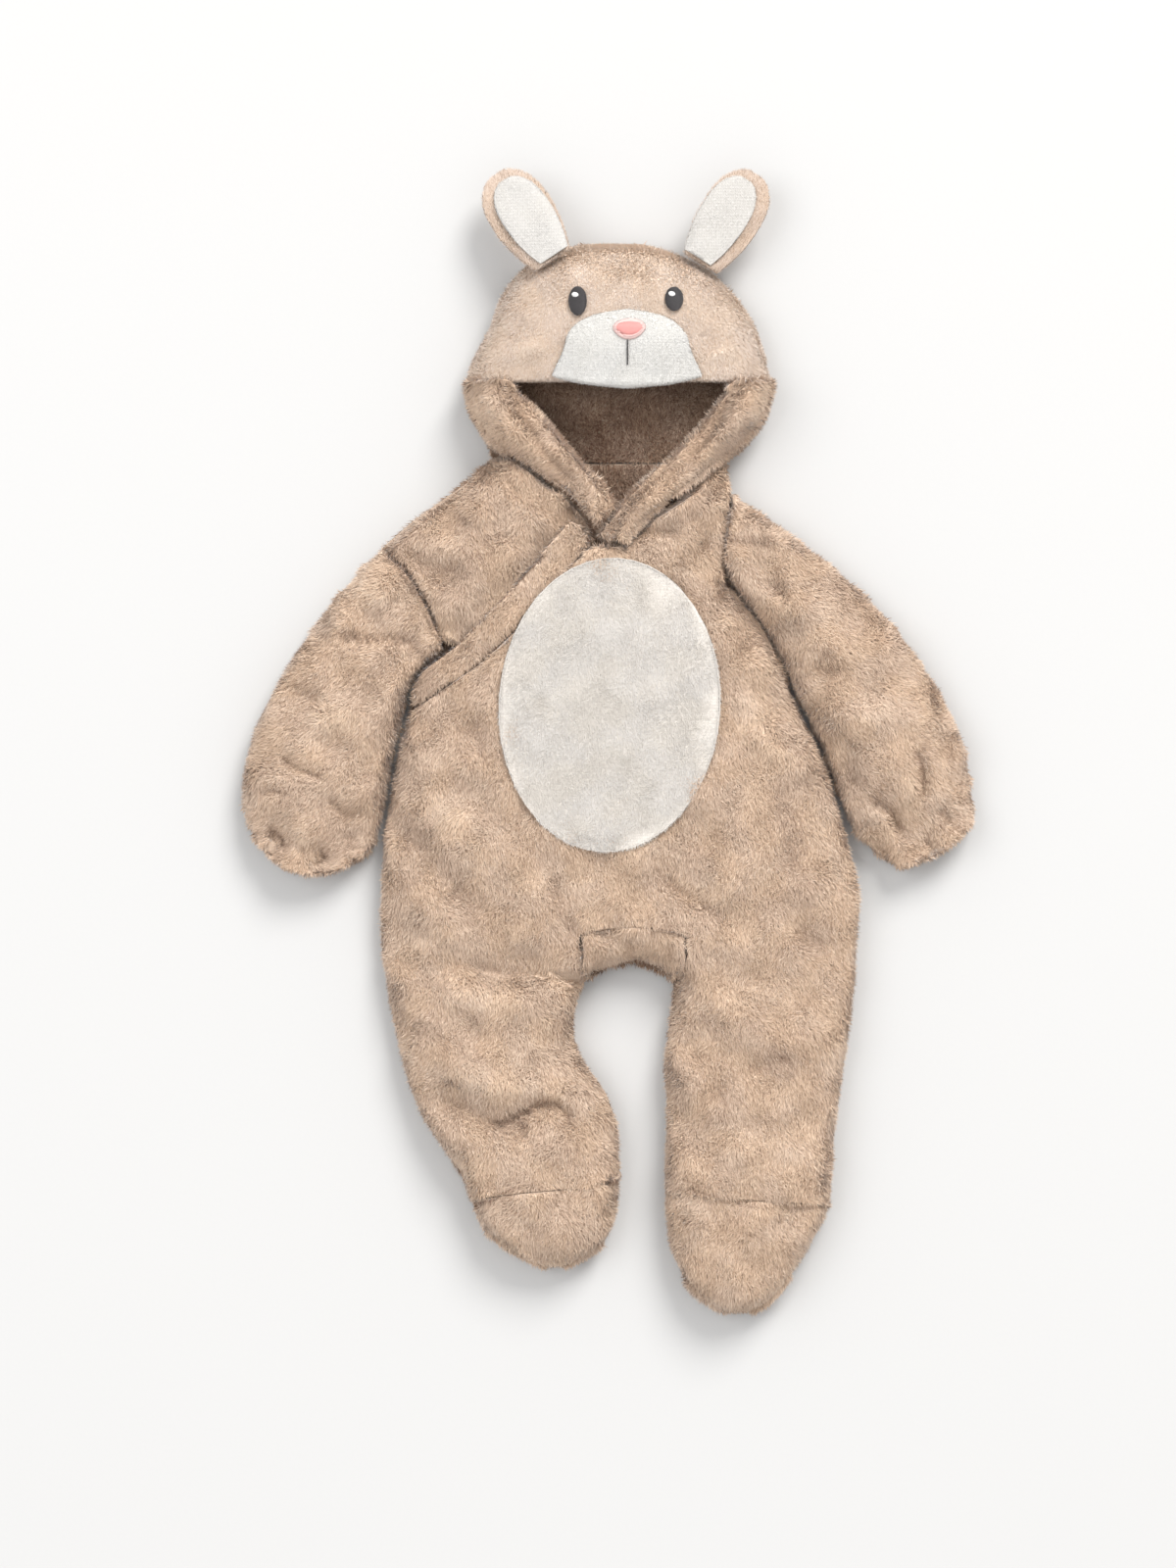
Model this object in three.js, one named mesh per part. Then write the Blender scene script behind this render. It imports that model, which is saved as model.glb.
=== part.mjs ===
// A baby's plush pramsuit, laid flat on its back: a footed all-in-one with a wrap front and a
// hood that has a bunny's face and ears. Millimetres, +X to the right, +Y towards the hood,
// +Z up, with the origin under the middle of the suit.
import * as THREE from 'three';
import { mergeVertices } from 'three/addons/utils/BufferGeometryUtils.js';

// ---- Driving sizes ----------------------------------------------------------------------------

const WALL = 8; // plush cloth, its backing and its pile together
const RIM = 12; // height of the side seams above the surface that the suit lies on
const SEAM = 0.4; // two sewn edges keep this far apart
const NEAR = 1.2; // clear width between a sleeve and the body beside it
const ROUND = 0.77; // how full a padded section is, 1 would be an ellipse
const FLAT = 0.4; // the same for the undersides, which lie flat
const PRESSED = 1.03; // presses the middle of an underside wholly flat
const END_FULL = 2.4; // how full a rounded end is, 2 would be an ellipse
const LEG_CELLS = 9; // cells across each leg
const FORK_CELLS = 4; // cells across the crotch between them

const CLOTH = { color: 0xd0b298, roughness: 0.95, metalness: 0 };
const CREAM = { color: 0xeee9e2, roughness: 0.95, metalness: 0 };
const WHITE = { color: 0xf0f0ee, roughness: 0.95, metalness: 0 };
const PINK = { color: 0xf0a09b, roughness: 0.7, metalness: 0 };
const CHARCOAL = { color: 0x323032, roughness: 0.6, metalness: 0 };

// ---- Outlines: a row for each height y, from the hood down ------------------------------------

// Side edges of the torso and legs: y, x.
const BODY_LEFT = [
  [196, -83], [182, -98], [169, -116], [155, -136], [141, -152], [136, -158], [118, -140],
  [96, -127], [69, -116], [63, -115], [46, -136], [23, -140], [-4, -147], [-39, -153],
  [-71, -158], [-131, -160], [-158, -157], [-185, -153], [-212, -147], [-239, -140],
  [-267, -127], [-294, -108], [-308, -101], [-325, -95], [-337, -90], [-348, -76], [-360, -56],
  [-366, -42],
];
const BODY_RIGHT = [
  [196, 81], [182, 83], [172, 85], [145, 83], [117, 79], [100, 92], [83, 106], [37, 128],
  [-7, 149], [-67, 168], [-108, 177], [-131, 175], [-158, 174], [-212, 168], [-267, 160],
  [-321, 156], [-335, 151], [-348, 144], [-362, 134], [-375, 126], [-389, 114], [-398, 98],
];
// Inner edges of the two legs: y, x.
const FORK_LEFT = [
  [-120, -20], [-158, -18], [-170, -16], [-185, -23], [-199, -24], [-212, -22], [-226, -13],
  [-239, -2], [-253, 4], [-267, 8], [-294, 9], [-321, 8], [-335, 5], [-348, -1], [-360, -20],
  [-366, -32],
];
const FORK_RIGHT = [
  [-120, 55], [-152, 52], [-166, 45], [-199, 41], [-226, 38], [-253, 40], [-307, 38],
  [-335, 40], [-348, 41], [-362, 46], [-375, 53], [-389, 67], [-398, 84],
];
// Side edges of the hood: y, x.
const HOOD_LEFT = [
  [349, -14], [345, -27], [337, -50], [318, -69], [305, -77], [291, -80], [277, -88],
  [264, -95], [250, -100], [237, -98], [223, -92], [209, -81], [196, -82],
];
const HOOD_RIGHT = [
  [349, 24], [345, 34], [332, 66], [318, 81], [305, 92], [291, 102], [277, 106], [264, 111],
  [250, 115], [237, 112], [223, 108], [209, 96], [196, 82],
];

// Heights of the cloth above the side seams: y, height.
const BODY_CROWN = [
  [196, 25], [170, 29], [120, 31], [60, 32], [0, 32], [-60, 31], [-110, 29], [-160, 27],
  [-220, 27], [-270, 28], [-320, 30], [-398, 30],
];
const HOOD_CROWN = [[349, 30], [320, 34], [290, 37], [250, 40], [196, 38]];

// The wrap-over front: its band's upper and lower edges: y, x.
const BAND_UPPER = [[170, -9], [153, -26], [133, -44], [113, -63], [89, -88], [65, -113], [46, -136]];
const BAND_LOWER = [[139, -10], [119, -29], [99, -48], [75, -68], [54, -92], [36, -120], [23, -140]];
// Right edge of the under front, down the neckline and on beneath the band: y, x.
const UNDER_EDGE = [
  [196, -67], [182, -47], [169, -30], [154, -15], [140, -8], [120, -30], [100, -52], [80, -72],
  [64, -88],
];
// Half the width of the muzzle, a dome that flares out to its two lower corners: y, half-width.
const MUZZLE_SIDES = [
  [299, 0], [296, 19], [291, 32], [282, 41], [271, 44], [262, 48], [257, 51], [253, 52], [250, 44],
  [247, 29], [244, 0],
];
// The neckline of the wrap front that the hood is sewn to: x, y.
const NECK_WRAP = [[-10, 137], [13, 135], [26, 152], [43, 165], [62, 179], [81, 194.5]];

// Sleeves, a row for each section from the armhole to the hem. innerY is the height of its inner
// end along the body's edge and away its distance from there; crown is the height over the seam
// level and bow how far the middle of the section runs ahead of its ends.
const SLEEVE_LEFT = [
  { innerY: 63, away: 0, outerX: -158, outerY: 136, crown: 21, bow: 0 },
  { innerY: 46, away: 0, outerX: -177, outerY: 117, crown: 24, bow: 0 },
  { innerY: 31, away: 0, outerX: -194, outerY: 97, crown: 25, bow: 0 },
  { innerY: 14, away: 0, outerX: -210, outerY: 75, crown: 25, bow: 0 },
  { innerY: -3, away: 0, outerX: -225, outerY: 53, crown: 26, bow: 0 },
  { innerY: -19, away: 0, outerX: -238, outerY: 31, crown: 26, bow: 1 },
  { innerY: -35, away: 0, outerX: -248, outerY: 9, crown: 26, bow: 3 },
  { innerY: -50, away: 0, outerX: -254, outerY: -14, crown: 24, bow: 7 },
  { innerY: -60, away: 0, outerX: -256, outerY: -32, crown: 20, bow: 12 },
  { innerY: -67, away: 1, outerX: -254, outerY: -48, crown: 14, bow: 17 },
  { innerY: -72, away: 3, outerX: -250, outerY: -60, crown: 15, bow: 25 },
];
const SLEEVE_RIGHT = [
  { innerY: 117, away: 0, outerX: 85, outerY: 176, crown: 20, bow: 0 },
  { innerY: 99, away: 0, outerX: 114, outerY: 155, crown: 24, bow: 0 },
  { innerY: 80, away: 0, outerX: 140, outerY: 137, crown: 25, bow: 0 },
  { innerY: 58, away: 0, outerX: 163, outerY: 119, crown: 25, bow: 0 },
  { innerY: 36, away: 0, outerX: 185, outerY: 99, crown: 25, bow: 0 },
  { innerY: 16, away: 0, outerX: 205, outerY: 75, crown: 26, bow: 0 },
  { innerY: -5, away: 0, outerX: 222, outerY: 52, crown: 26, bow: 0 },
  { innerY: -25, away: 0, outerX: 236, outerY: 30, crown: 26, bow: 1 },
  { innerY: -43, away: 0, outerX: 247, outerY: 7, crown: 25, bow: 2 },
  { innerY: -60, away: 1, outerX: 252, outerY: -13, crown: 22, bow: 4 },
  { innerY: -74, away: 12, outerX: 254, outerY: -32, crown: 14, bow: 6 },
  { innerY: -87, away: 23, outerX: 256, outerY: -50, crown: 16, bow: 8 },
];

// Rolled sides of the hood opening, a row for each section from the cheek to the throat: the
// outer end, the inner end at the opening, and the height of the roll's top.
const BRIM_LEFT = [
  { outer: [-99, 250.5], inner: [-67, 250.5], top: 51 },
  { outer: [-97, 235], inner: [-58, 242], top: 51 },
  { outer: [-90, 222], inner: [-48, 232], top: 51 },
  { outer: [-82, 208], inner: [-38, 221], top: 51 },
  { outer: [-66, 197], inner: [-28, 209], top: 51 },
  { outer: [-45, 183], inner: [-17, 196], top: 52 },
  { outer: [-28, 170], inner: [-6, 182], top: 52 },
  { outer: [-14, 156], inner: [3, 169], top: 52 },
  { outer: [-8, 150], inner: [5, 162], top: 50 },
];
const BRIM_RIGHT = [
  { outer: [115, 250.5], inner: [86, 250.5], top: 51 },
  { outer: [113, 241], inner: [79, 243], top: 51 },
  { outer: [109, 226], inner: [70, 231], top: 51 },
  { outer: [96, 210], inner: [60, 218], top: 51 },
  { outer: [80, 197], inner: [47, 205], top: 51 },
  { outer: [61, 181], inner: [35, 191], top: 52 },
  { outer: [42, 166], inner: [23, 178], top: 53 },
  { outer: [25, 154], inner: [10, 166], top: 54 },
  { outer: [16, 142], inner: [4, 155], top: 53 },
  { outer: [12, 137], inner: [-6, 145], top: 50 },
];

// Largest folds: from one end to the other, half-width, and depth (a ridge is negative).
const FOLDS = [
  { from: [-126, -157], to: [-47, -154], wide: 9, deep: 5 },
  { from: [-96, -262], to: [-66, -272], wide: 9, deep: 4 },
  { from: [-60, -268], to: [-46, -254], wide: 9, deep: 6 },
  { from: [-38, -252], to: [-22, -260], wide: 8, deep: 5 },
  { from: [-33, -84], to: [-19, -140], wide: 9, deep: 4 },
  { from: [37, -78], to: [43, -89], wide: 8, deep: 4 },
  { from: [43, -89], to: [80, -124], wide: 9, deep: 5 },
  { from: [138, -136], to: [155, -150], wide: 8, deep: 4 },
  { from: [85, -180], to: [108, -171], wide: 9, deep: -3 },
  { from: [17, 145], to: [49, 146], wide: 7, deep: 4 },
  { from: [55, 165], to: [79, 117], wide: 10, deep: -4 },
  { from: [-140, 118], to: [-120, 72], wide: 10, deep: -3 },
  { from: [72, 143], to: [119, 139], wide: 8, deep: 5 },
  { from: [206, 3], to: [218, -37], wide: 8, deep: 6 },
  { from: [178, -41], to: [208, -63], wide: 9, deep: 6 },
  { from: [-192, 78], to: [-134, 69], wide: 9, deep: 5 },
  { from: [-225, -20], to: [-190, -32], wide: 8, deep: 4 },
  { from: [-5, 332], to: [34, 332], wide: 9, deep: 5 },
];

const FOLD_ROOM = 24; // folds flatten out where the form is lower than this
const NECK_Y = 196; // the back neck seam
const FRONT_FORK = -133; // where the crotch gusset meets the front
const BACK_FORK = -167; // where it meets the back
const FORK_BOW = { front: 6, back: 14 }; // how far each of those seams bows up in its middle
const FORK_DROP = 34; // length over which the inner legs round down from there
const THIGH = 70; // length over which the outer thighs part, more gently
const FORK_EASE = 42; // length over which the front seam's bow fades into the rows above it
const BACK_EASE = 26; // length over which the back parts into two legs
const HOOD_TOP = 349;
const HOOD_ROUND = 36; // length over which the top of the hood rounds down
const BRIM_Y = 251; // the brim over the face
const BRIM_ROLL = 6; // how far its edge dips
const BRIM_EASE = 28; // length over which it does so
const TOE_ROUND = 36;
const FEET = [
  { side: 'left', left: BODY_LEFT, right: FORK_LEFT, seam: [-320, -300], toe: -366 },
  { side: 'right', left: FORK_RIGHT, right: BODY_RIGHT, seam: [-309, -323], toe: -398 },
];
const ARMHOLES = {
  left: { top: 136, bottom: 63 },
  right: { top: 176, bottom: 117 },
};
const ARMHOLE_LIFT = 13; // the body's edge stands open this high there
const BELLY = { x: 1, y: 26, rx: 77, ry: 102, lean: 0.06, thick: 2.5 };
const MUZZLE = { x: 13, top: 299, corners: 254, bottom: 244, thick: 5 };
const NOSE = { x: 14.5, y: 284.5, rx: 9, ry: 5.2, full: 0.25, thick: 1.2 };
const PATCH_EDGE = 0.4; // a patch's edge keeps this share of its thickness
const EYES = [
  { side: 'left', x: -21, y: 304.5, rx: 6.4, ry: 10.2 },
  { side: 'right', x: 45.5, y: 306, rx: 6.4, ry: 8.6 },
];
const EYE_THICK = 1;
const EARS = [
  { side: 'left', base: [-38, 333], tip: [-78.5, 395], half: 23, inset: 2.5 },
  { side: 'right', base: [64, 332], tip: [103.5, 395], half: 22, inset: -4 },
];
const EAR = { thick: 8, tipZ: 22, sag: 0.8, cup: 3, sideThin: 0.6, tipThin: 0.5, round: 0.4 };
const LINING = { thick: 2.5, scale: 0.78, from: 0.03, to: 0.9, sideThin: 0.4 };
const TIP_ROWS = 1.5; // an ear's or a foot's rows lie closer towards its round end

// ---- Curves and section forms -----------------------------------------------------------------

const lerp = THREE.MathUtils.lerp;
const clamp = THREE.MathUtils.clamp;
const smooth = THREE.MathUtils.smoothstep;
const fill = (value, power) => Math.sign(value) * Math.abs(value) ** power;

// A smooth curve through [key, value] rows that never swings past a row.
function through(rows) {
  const sorted = [...rows].sort((a, b) => a[0] - b[0]);
  const slope = sorted.slice(1).map((row, i) => (row[1] - sorted[i][1]) / (row[0] - sorted[i][0]));
  const tangent = sorted.map((_, i) => {
    const before = slope[Math.max(i - 1, 0)];
    const after = slope[Math.min(i, slope.length - 1)];
    return before * after > 0 ? (2 * before * after) / (before + after) : 0;
  });
  return (key) => {
    const at = clamp(key, sorted[0][0], sorted.at(-1)[0]);
    let i = 0;
    while (i < sorted.length - 2 && at > sorted[i + 1][0]) i += 1;
    const span = sorted[i + 1][0] - sorted[i][0];
    const f = (at - sorted[i][0]) / span;
    const bend = f * f * (3 - 2 * f);
    return lerp(sorted[i][1], sorted[i + 1][1], bend)
      + span * (f * (1 - f) * (1 - f) * tangent[i] - f * f * (1 - f) * tangent[i + 1]);
  };
}

// How deep the folds press the cloth at a place.
function foldAt(x, y) {
  let depth = 0;
  for (const { from, to, wide, deep } of FOLDS) {
    const along = new THREE.Vector2(to[0] - from[0], to[1] - from[1]);
    const f = ((x - from[0]) * along.x + (y - from[1]) * along.y) / along.lengthSq();
    const held = clamp(f, 0, 1);
    const off = Math.hypot(x - from[0] - along.x * held, y - from[1] - along.y * held);
    depth += deep * Math.exp(-((off / wide) ** 2));
  }
  return depth;
}

// 0 at the very end of a rounded form, 1 past its rounded stretch.
const endRound = (distance, length) => (
  distance >= length ? 1 : (1 - (1 - Math.max(distance, 0) / length) ** END_FULL) ** (1 / END_FULL)
);

// How high the body's edge stands open round the armhole of the side where t lies.
function armholeLift(t, y) {
  const { top, bottom } = t < 0.5 ? ARMHOLES.left : ARMHOLES.right;
  const off = (2 * y - top - bottom) / (top - bottom);
  return Math.abs(off) < 1 ? ARMHOLE_LIFT * (1 - off * off) ** 0.5 : 0;
}

const bodyLeft = through(BODY_LEFT);
const bodyRight = through(BODY_RIGHT);
const forkLeft = through(FORK_LEFT);
const forkRight = through(FORK_RIGHT);
const bodyCrown = through(BODY_CROWN);
const hoodCrown = through(HOOD_CROWN);

// A form that lies flat: its side edges and its height over them, at a depth below its skin.
const torso = {
  left: bodyLeft, right: bodyRight, height: (y, depth) => bodyCrown(y) - depth, lift: armholeLift,
};
const legs = {
  left: { left: bodyLeft, right: forkLeft, height: torso.height, lift: () => 0 },
  right: { left: forkRight, right: bodyRight, height: torso.height, lift: () => 0 },
};
const hood = {
  left: through(HOOD_LEFT),
  right: through(HOOD_RIGHT),
  height: (y, depth) => (hoodCrown(y) - depth) * endRound(HOOD_TOP - depth - y, HOOD_ROUND - depth)
    - BRIM_ROLL * smooth(BRIM_Y + BRIM_EASE - y, 0, BRIM_EASE),
  lift: () => 0,
};

// A place on the upper cloth of a form: t runs from its left edge, 0, over to its right edge, 1.
function upper(form, t, y, depth) {
  const left = form.left(y) + depth;
  const right = form.right(y) - depth;
  const x = (left + right) / 2 - ((right - left) / 2) * fill(Math.cos(Math.PI * t), ROUND);
  const rise = Math.sin(Math.PI * t) ** ROUND;
  const lift = form.lift(t, y);
  const height = form.height(y, depth);
  const fold = foldAt(x, y) * clamp(height / FOLD_ROOM, 0, 1);
  const z = RIM + SEAM + lift + (height - lift - fold) * rise;
  return new THREE.Vector3(x, y, z);
}

// A place on the cloth that lies on the surface.
function lower(form, t, y, depth, drop = 1) {
  const left = form.left(y) + depth;
  const right = form.right(y) - depth;
  const x = (left + right) / 2 - ((right - left) / 2) * fill(Math.cos(Math.PI * t), FLAT);
  const sink = Math.min(1, PRESSED * Math.sin(Math.PI * t) ** FLAT) * drop;
  return new THREE.Vector3(x, y, RIM - (RIM - depth) * sink);
}

// The t of a place on the upper cloth's skin.
function acrossAt(form, x, y) {
  const left = form.left(y);
  const right = form.right(y);
  const off = clamp((left + right - 2 * x) / (right - left), -1, 1);
  return Math.acos(fill(off, 1 / ROUND)) / Math.PI;
}

// Height of the upper cloth's skin over a place in the plan.
const skinAt = (form, x, y) => upper(form, acrossAt(form, x, y), y, 0).z;

// ---- Walls ------------------------------------------------------------------------------------

// A wall over a grid of places. outer(i, j) and inner(i, j) give its two faces, keep(i, j) says
// which cells are cloth, a ring joins its last column to its first, and open edges get a rim.
function wall({ rows, columns, outer, inner, keep = () => true, ring = false }) {
  const spots = [];
  const cell = (i, j) => i >= 0 && i < rows && (ring || (j >= 0 && j < columns))
    && keep(i, ring ? (j + columns) % columns : j);
  const face = (a, b, c, d) => spots.push(a, b, c, a, c, d);
  const column = (j) => (ring ? j % columns : j);
  const grid = (place) => Array.from({ length: rows + 1 }, (_, i) => (
    Array.from({ length: ring ? columns : columns + 1 }, (__, j) => place(i, j))));
  const over = grid(outer);
  const under = grid(inner);
  for (let i = 0; i < rows; i += 1) {
    for (let j = 0; j < columns; j += 1) {
      if (!cell(i, j)) continue;
      const corners = [[i, j], [i, column(j + 1)], [i + 1, column(j + 1)], [i + 1, j]];
      const [a, b, c, d] = corners.map(([r, k]) => over[r][k]);
      const [e, f, g, h] = corners.map(([r, k]) => under[r][k]);
      face(a, b, c, d);
      face(h, g, f, e);
      if (!cell(i - 1, j)) face(e, f, b, a);
      if (!cell(i + 1, j)) face(g, h, d, c);
      if (!cell(i, j - 1)) face(h, e, a, d);
      if (!cell(i, j + 1)) face(f, g, c, b);
    }
  }
  return solid(spots);
}

// A closed body from triangles, turned so that its faces point out.
function solid(spots) {
  let volume = 0;
  for (let i = 0; i < spots.length; i += 3) {
    volume += spots[i].dot(new THREE.Vector3().crossVectors(spots[i + 1], spots[i + 2]));
  }
  const order = volume > 0 ? spots : spots.reverse();
  const geometry = new THREE.BufferGeometry();
  geometry.setAttribute('position', new THREE.Float32BufferAttribute(order.flatMap((p) => p.toArray()), 3));
  const merged = mergeVertices(geometry, 1e-4);
  merged.computeVertexNormals();
  return merged;
}

// The inner face of a wall on a curved surface(u, v), measured square to the surface.
function within(surface, u, v, thick) {
  const step = 0.004; // of the surface's own 0 to 1, small enough to measure its slope
  const squareTo = (a, b) => {
    const across = surface(Math.min(a + step, 1), b).sub(surface(Math.max(a - step, 0), b));
    const along = surface(a, Math.min(b + step, 1)).sub(surface(a, Math.max(b - step, 0)));
    return across.cross(along).normalize();
  };
  const outward = Math.sign(squareTo(0.5, 0.5).z);
  return surface(u, v).addScaledVector(squareTo(u, v), -outward * thick);
}

// A round patch laid on a surface: plan(a, b) gives a place for a and b from -1 to 1.
function patch({ cells, plan, skin, gap, thick }) {
  const at = (i, j, raise) => {
    const a = (2 * j) / cells - 1;
    const b = (2 * i) / cells - 1;
    const [x, y] = plan(a * Math.sqrt(1 - (b * b) / 2), b * Math.sqrt(1 - (a * a) / 2));
    const inside = 1 - Math.max(Math.abs(a), Math.abs(b)) ** 6 * (1 - PATCH_EDGE);
    return new THREE.Vector3(x, y, skin(x, y) + gap + raise * inside);
  };
  return wall({
    rows: cells, columns: cells, outer: (i, j) => at(i, j, thick), inner: (i, j) => at(i, j, 0),
  });
}

const suit = new THREE.Group();

function add(name, geometry, finish) {
  const mesh = new THREE.Mesh(geometry, new THREE.MeshStandardMaterial(finish));
  mesh.name = name;
  suit.add(mesh);
}

// ---- Torso and legs ---------------------------------------------------------------------------

const FORK_FROM = LEG_CELLS;
const FORK_TO = LEG_CELLS + FORK_CELLS;
const BODY_CELLS = 2 * LEG_CELLS + FORK_CELLS;

// How far the section has turned from one torso into two legs at y, below the front fork. The
// inner columns round down beside the gusset, and the outer ones part gently over the thigh.
function parting(j, y) {
  const below = clamp(FRONT_FORK - y, 0, THIGH);
  const inner = 1 - endRound(FORK_DROP - below, FORK_DROP);
  const toFork = j <= FORK_FROM ? j / FORK_FROM : clamp((BODY_CELLS - j) / LEG_CELLS, 0, 1);
  return lerp(smooth(below, 0, THIGH), inner, toFork ** 3);
}

// t of each column where the section is one torso.
function torsoT(j) {
  const from = acrossAt(torso, forkLeft(FRONT_FORK), FRONT_FORK);
  const to = acrossAt(torso, forkRight(FRONT_FORK), FRONT_FORK);
  if (j <= FORK_FROM) return (from * j) / FORK_FROM;
  if (j >= FORK_TO) return lerp(to, 1, (j - FORK_TO) / LEG_CELLS);
  return lerp(from, to, (j - FORK_FROM) / FORK_CELLS);
}

// The leg that a column is in, and its t there.
const legOf = (j) => (j <= FORK_FROM
  ? [legs.left, j / LEG_CELLS]
  : [legs.right, clamp((j - FORK_TO) / LEG_CELLS, 0, 1)]);

// How much of the fork's own curve a column follows: 0 at its sides, 1 in its middle.
const forkMiddle = (j) => Math.sin(Math.PI * clamp((j - FORK_FROM) / FORK_CELLS, 0, 1));

// The front: rows by the height of their left and right ends, over the neck, the chest, the
// belly and the legs. Above the side seam's start their left end lies on the band's lower edge.
const FRONT_ROWS = [
  [139, 194], [130, 183], [119, 170], [108, 157], [96, 143], [84, 129], [71, 116], [58, 99],
  [46, 80], [34, 58], [24, 38], [10, 17], [-6, -2], [-24, -22], [-42, -41], [-60, -60],
  [-77, -77], [-92, -92], [-106, -106], [-120, -120], [-133, -133], [-140, -140], [-148, -148],
  [-157, -157], [-168, -168], [-180, -180], [-194, -194], [-208, -208], [-221, -221],
  [-233, -233], [-244, -244], [-255, -255], [-266, -266], [-278, -278], [-290, -292],
  [-301, -306], [-319.4, -308.6],
];
const NECK_ROWS = 3; // this many rows bend with the neck edge
const NECK_FROM = 0.25; // the share of a row over which the bend sets in
const BAND_SPAN = { upper: [153, 46], lower: [139, 24] }; // where the band starts and ends, as y
const FRONT_FORK_ROW = FRONT_ROWS.findIndex(([left]) => left === FRONT_FORK);
const bandUpper = through(BAND_UPPER);
const bandLower = through(BAND_LOWER);
const neckWrap = through(NECK_WRAP);
const underEdge = through(UNDER_EDGE);

function frontPlace(i, j, depth) {
  const [leftY, rightY] = FRONT_ROWS[i];
  if (i === FRONT_ROWS.length - 1) return ankle(j, depth);
  const start = leftY >= BAND_SPAN.lower[1] ? acrossAt(torso, bandLower(leftY) + 2 * SEAM, leftY) : 0;
  const t = lerp(start, 1, torsoT(j));
  const u = (t - start) / (1 - start);
  let y = lerp(leftY, rightY, u);
  const neck = i === 0 ? 1 : clamp(1 - i / NECK_ROWS, 0, 1) * smooth(u, 0, NECK_FROM);
  if (neck > 0) y += neck * (neckWrap(upper(torso, t, y, 0).x) - 2 * SEAM - y);
  const fork = smooth(y, FRONT_FORK, FRONT_FORK + FORK_EASE);
  y += FORK_BOW.front * forkMiddle(j) * (1 - fork);
  const place = upper(torso, t, y, depth);
  const [leg, legT] = legOf(j);
  return place.lerp(upper(leg, legT, y, depth), i > FRONT_FORK_ROW ? parting(j, y) : 0);
}

// The seam round an ankle, from the leg's outer edge to its inner one.
function ankle(j, depth) {
  const [leg, legT] = legOf(j);
  const { seam } = leg === legs.left ? FEET[0] : FEET[1];
  return upper(leg, legT, lerp(seam[0], seam[1], legT), depth);
}

const frontKeep = (i, j) => i < FRONT_FORK_ROW || j < FORK_FROM || j >= FORK_TO;

add('front_panel', wall({
  rows: FRONT_ROWS.length - 1,
  columns: BODY_CELLS,
  outer: (i, j) => frontPlace(i, j, 0),
  inner: (i, j) => frontPlace(i, j, WALL),
  keep: frontKeep,
}), CLOTH);

// The gusset that closes the crotch between the legs, gathered along its lower edge.
const GUSSET_ROWS = 5;
const GUSSET_COLUMNS = 12;
const GATHER = 0.9;

const gussetSide = (j, y) => {
  const [leg, legT] = legOf(j);
  const whole = upper(torso, torsoT(j), y, 0);
  return whole.lerp(upper(leg, legT, y, 0), parting(j, y)).x;
};

function gussetPlace(i, j, depth) {
  const u = j / GUSSET_COLUMNS;
  const v = i / GUSSET_ROWS;
  const bow = Math.sin(Math.PI * u);
  const y = lerp(FRONT_FORK + FORK_BOW.front * bow - 2 * SEAM, BACK_FORK + FORK_BOW.back * bow, v);
  const turned = 1 - endRound(FORK_DROP * (1 - v), FORK_DROP);
  const x = lerp(gussetSide(FORK_FROM, y) + 2 * SEAM, gussetSide(FORK_TO, y) - 2 * SEAM, u);
  const inY = y + depth * turned;
  const place = upper(torso, acrossAt(torso, x, y), inY, depth);
  const gather = GATHER * v * (1 - turned) * Math.cos(Math.PI * j);
  place.z += gather;
  return place.lerp(new THREE.Vector3(x, inY, RIM + SEAM), turned);
}

add('gusset', wall({
  rows: GUSSET_ROWS,
  columns: GUSSET_COLUMNS,
  outer: (i, j) => gussetPlace(i, j, 0),
  inner: (i, j) => gussetPlace(i, j, WALL),
}), CLOTH);

// The back lies on the surface, in one piece from the neck to the ankles.
const BACK_ROWS = [
  195.6, 182, 169, 155, 141, 136, 118, 96, 78, 63, 46, 23, -20, -65, -110, -138, -149, -158,
  -167, -185, -205, -226, -246, -267, -290, -320,
];
const BACK_FORK_ROW = BACK_ROWS.indexOf(BACK_FORK);

function backPlace(i, j, depth) {
  const turned = smooth(-BACK_ROWS[i], -BACK_FORK - BACK_EASE, -BACK_FORK);
  const [leg, legT] = legOf(j);
  if (i === BACK_ROWS.length - 1) return lower(leg, legT, ankle(j, 0).y, depth);
  const middle = j > FORK_FROM && j < FORK_TO && i <= BACK_FORK_ROW;
  const bow = i <= BACK_FORK_ROW ? FORK_BOW.back * forkMiddle(j) * turned : 0;
  const y = BACK_ROWS[i] + bow;
  const whole = lower(torso, torsoT(j), y, depth);
  if (!middle) return whole.lerp(lower(leg, legT, y, depth), turned);
  const across = (j - FORK_FROM) / FORK_CELLS;
  const x = lerp(forkLeft(y), forkRight(y), across);
  return whole.lerp(new THREE.Vector3(x, y + depth, RIM), turned);
}

add('back_panel', wall({
  rows: BACK_ROWS.length - 1,
  columns: BODY_CELLS,
  outer: (i, j) => backPlace(i, j, 0),
  inner: (i, j) => backPlace(i, j, WALL),
  keep: (i, j) => i < BACK_FORK_ROW || j < FORK_FROM || j >= FORK_TO,
}), CLOTH);

// The under front, which the wrap front laps over: it sinks away beneath the band.
const UNDER_ROWS = [
  195.6, 188, 182, 175, 169, 162, 155, 148, 141, 136, 128, 118, 107, 96, 87, 78, 72, 68,
];
const SHOWN_COLUMNS = 6; // the columns that show, with the rest tucked under the band
const UNDER_COLUMNS = 9;
const LAP_FROM = 17; // the cloth starts to sink this far before the band's edge
const LAP_TO = 5; // and is down beside it here
const LAP_DEPTH = 9.8;
const LAP_THICK = 5;
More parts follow.
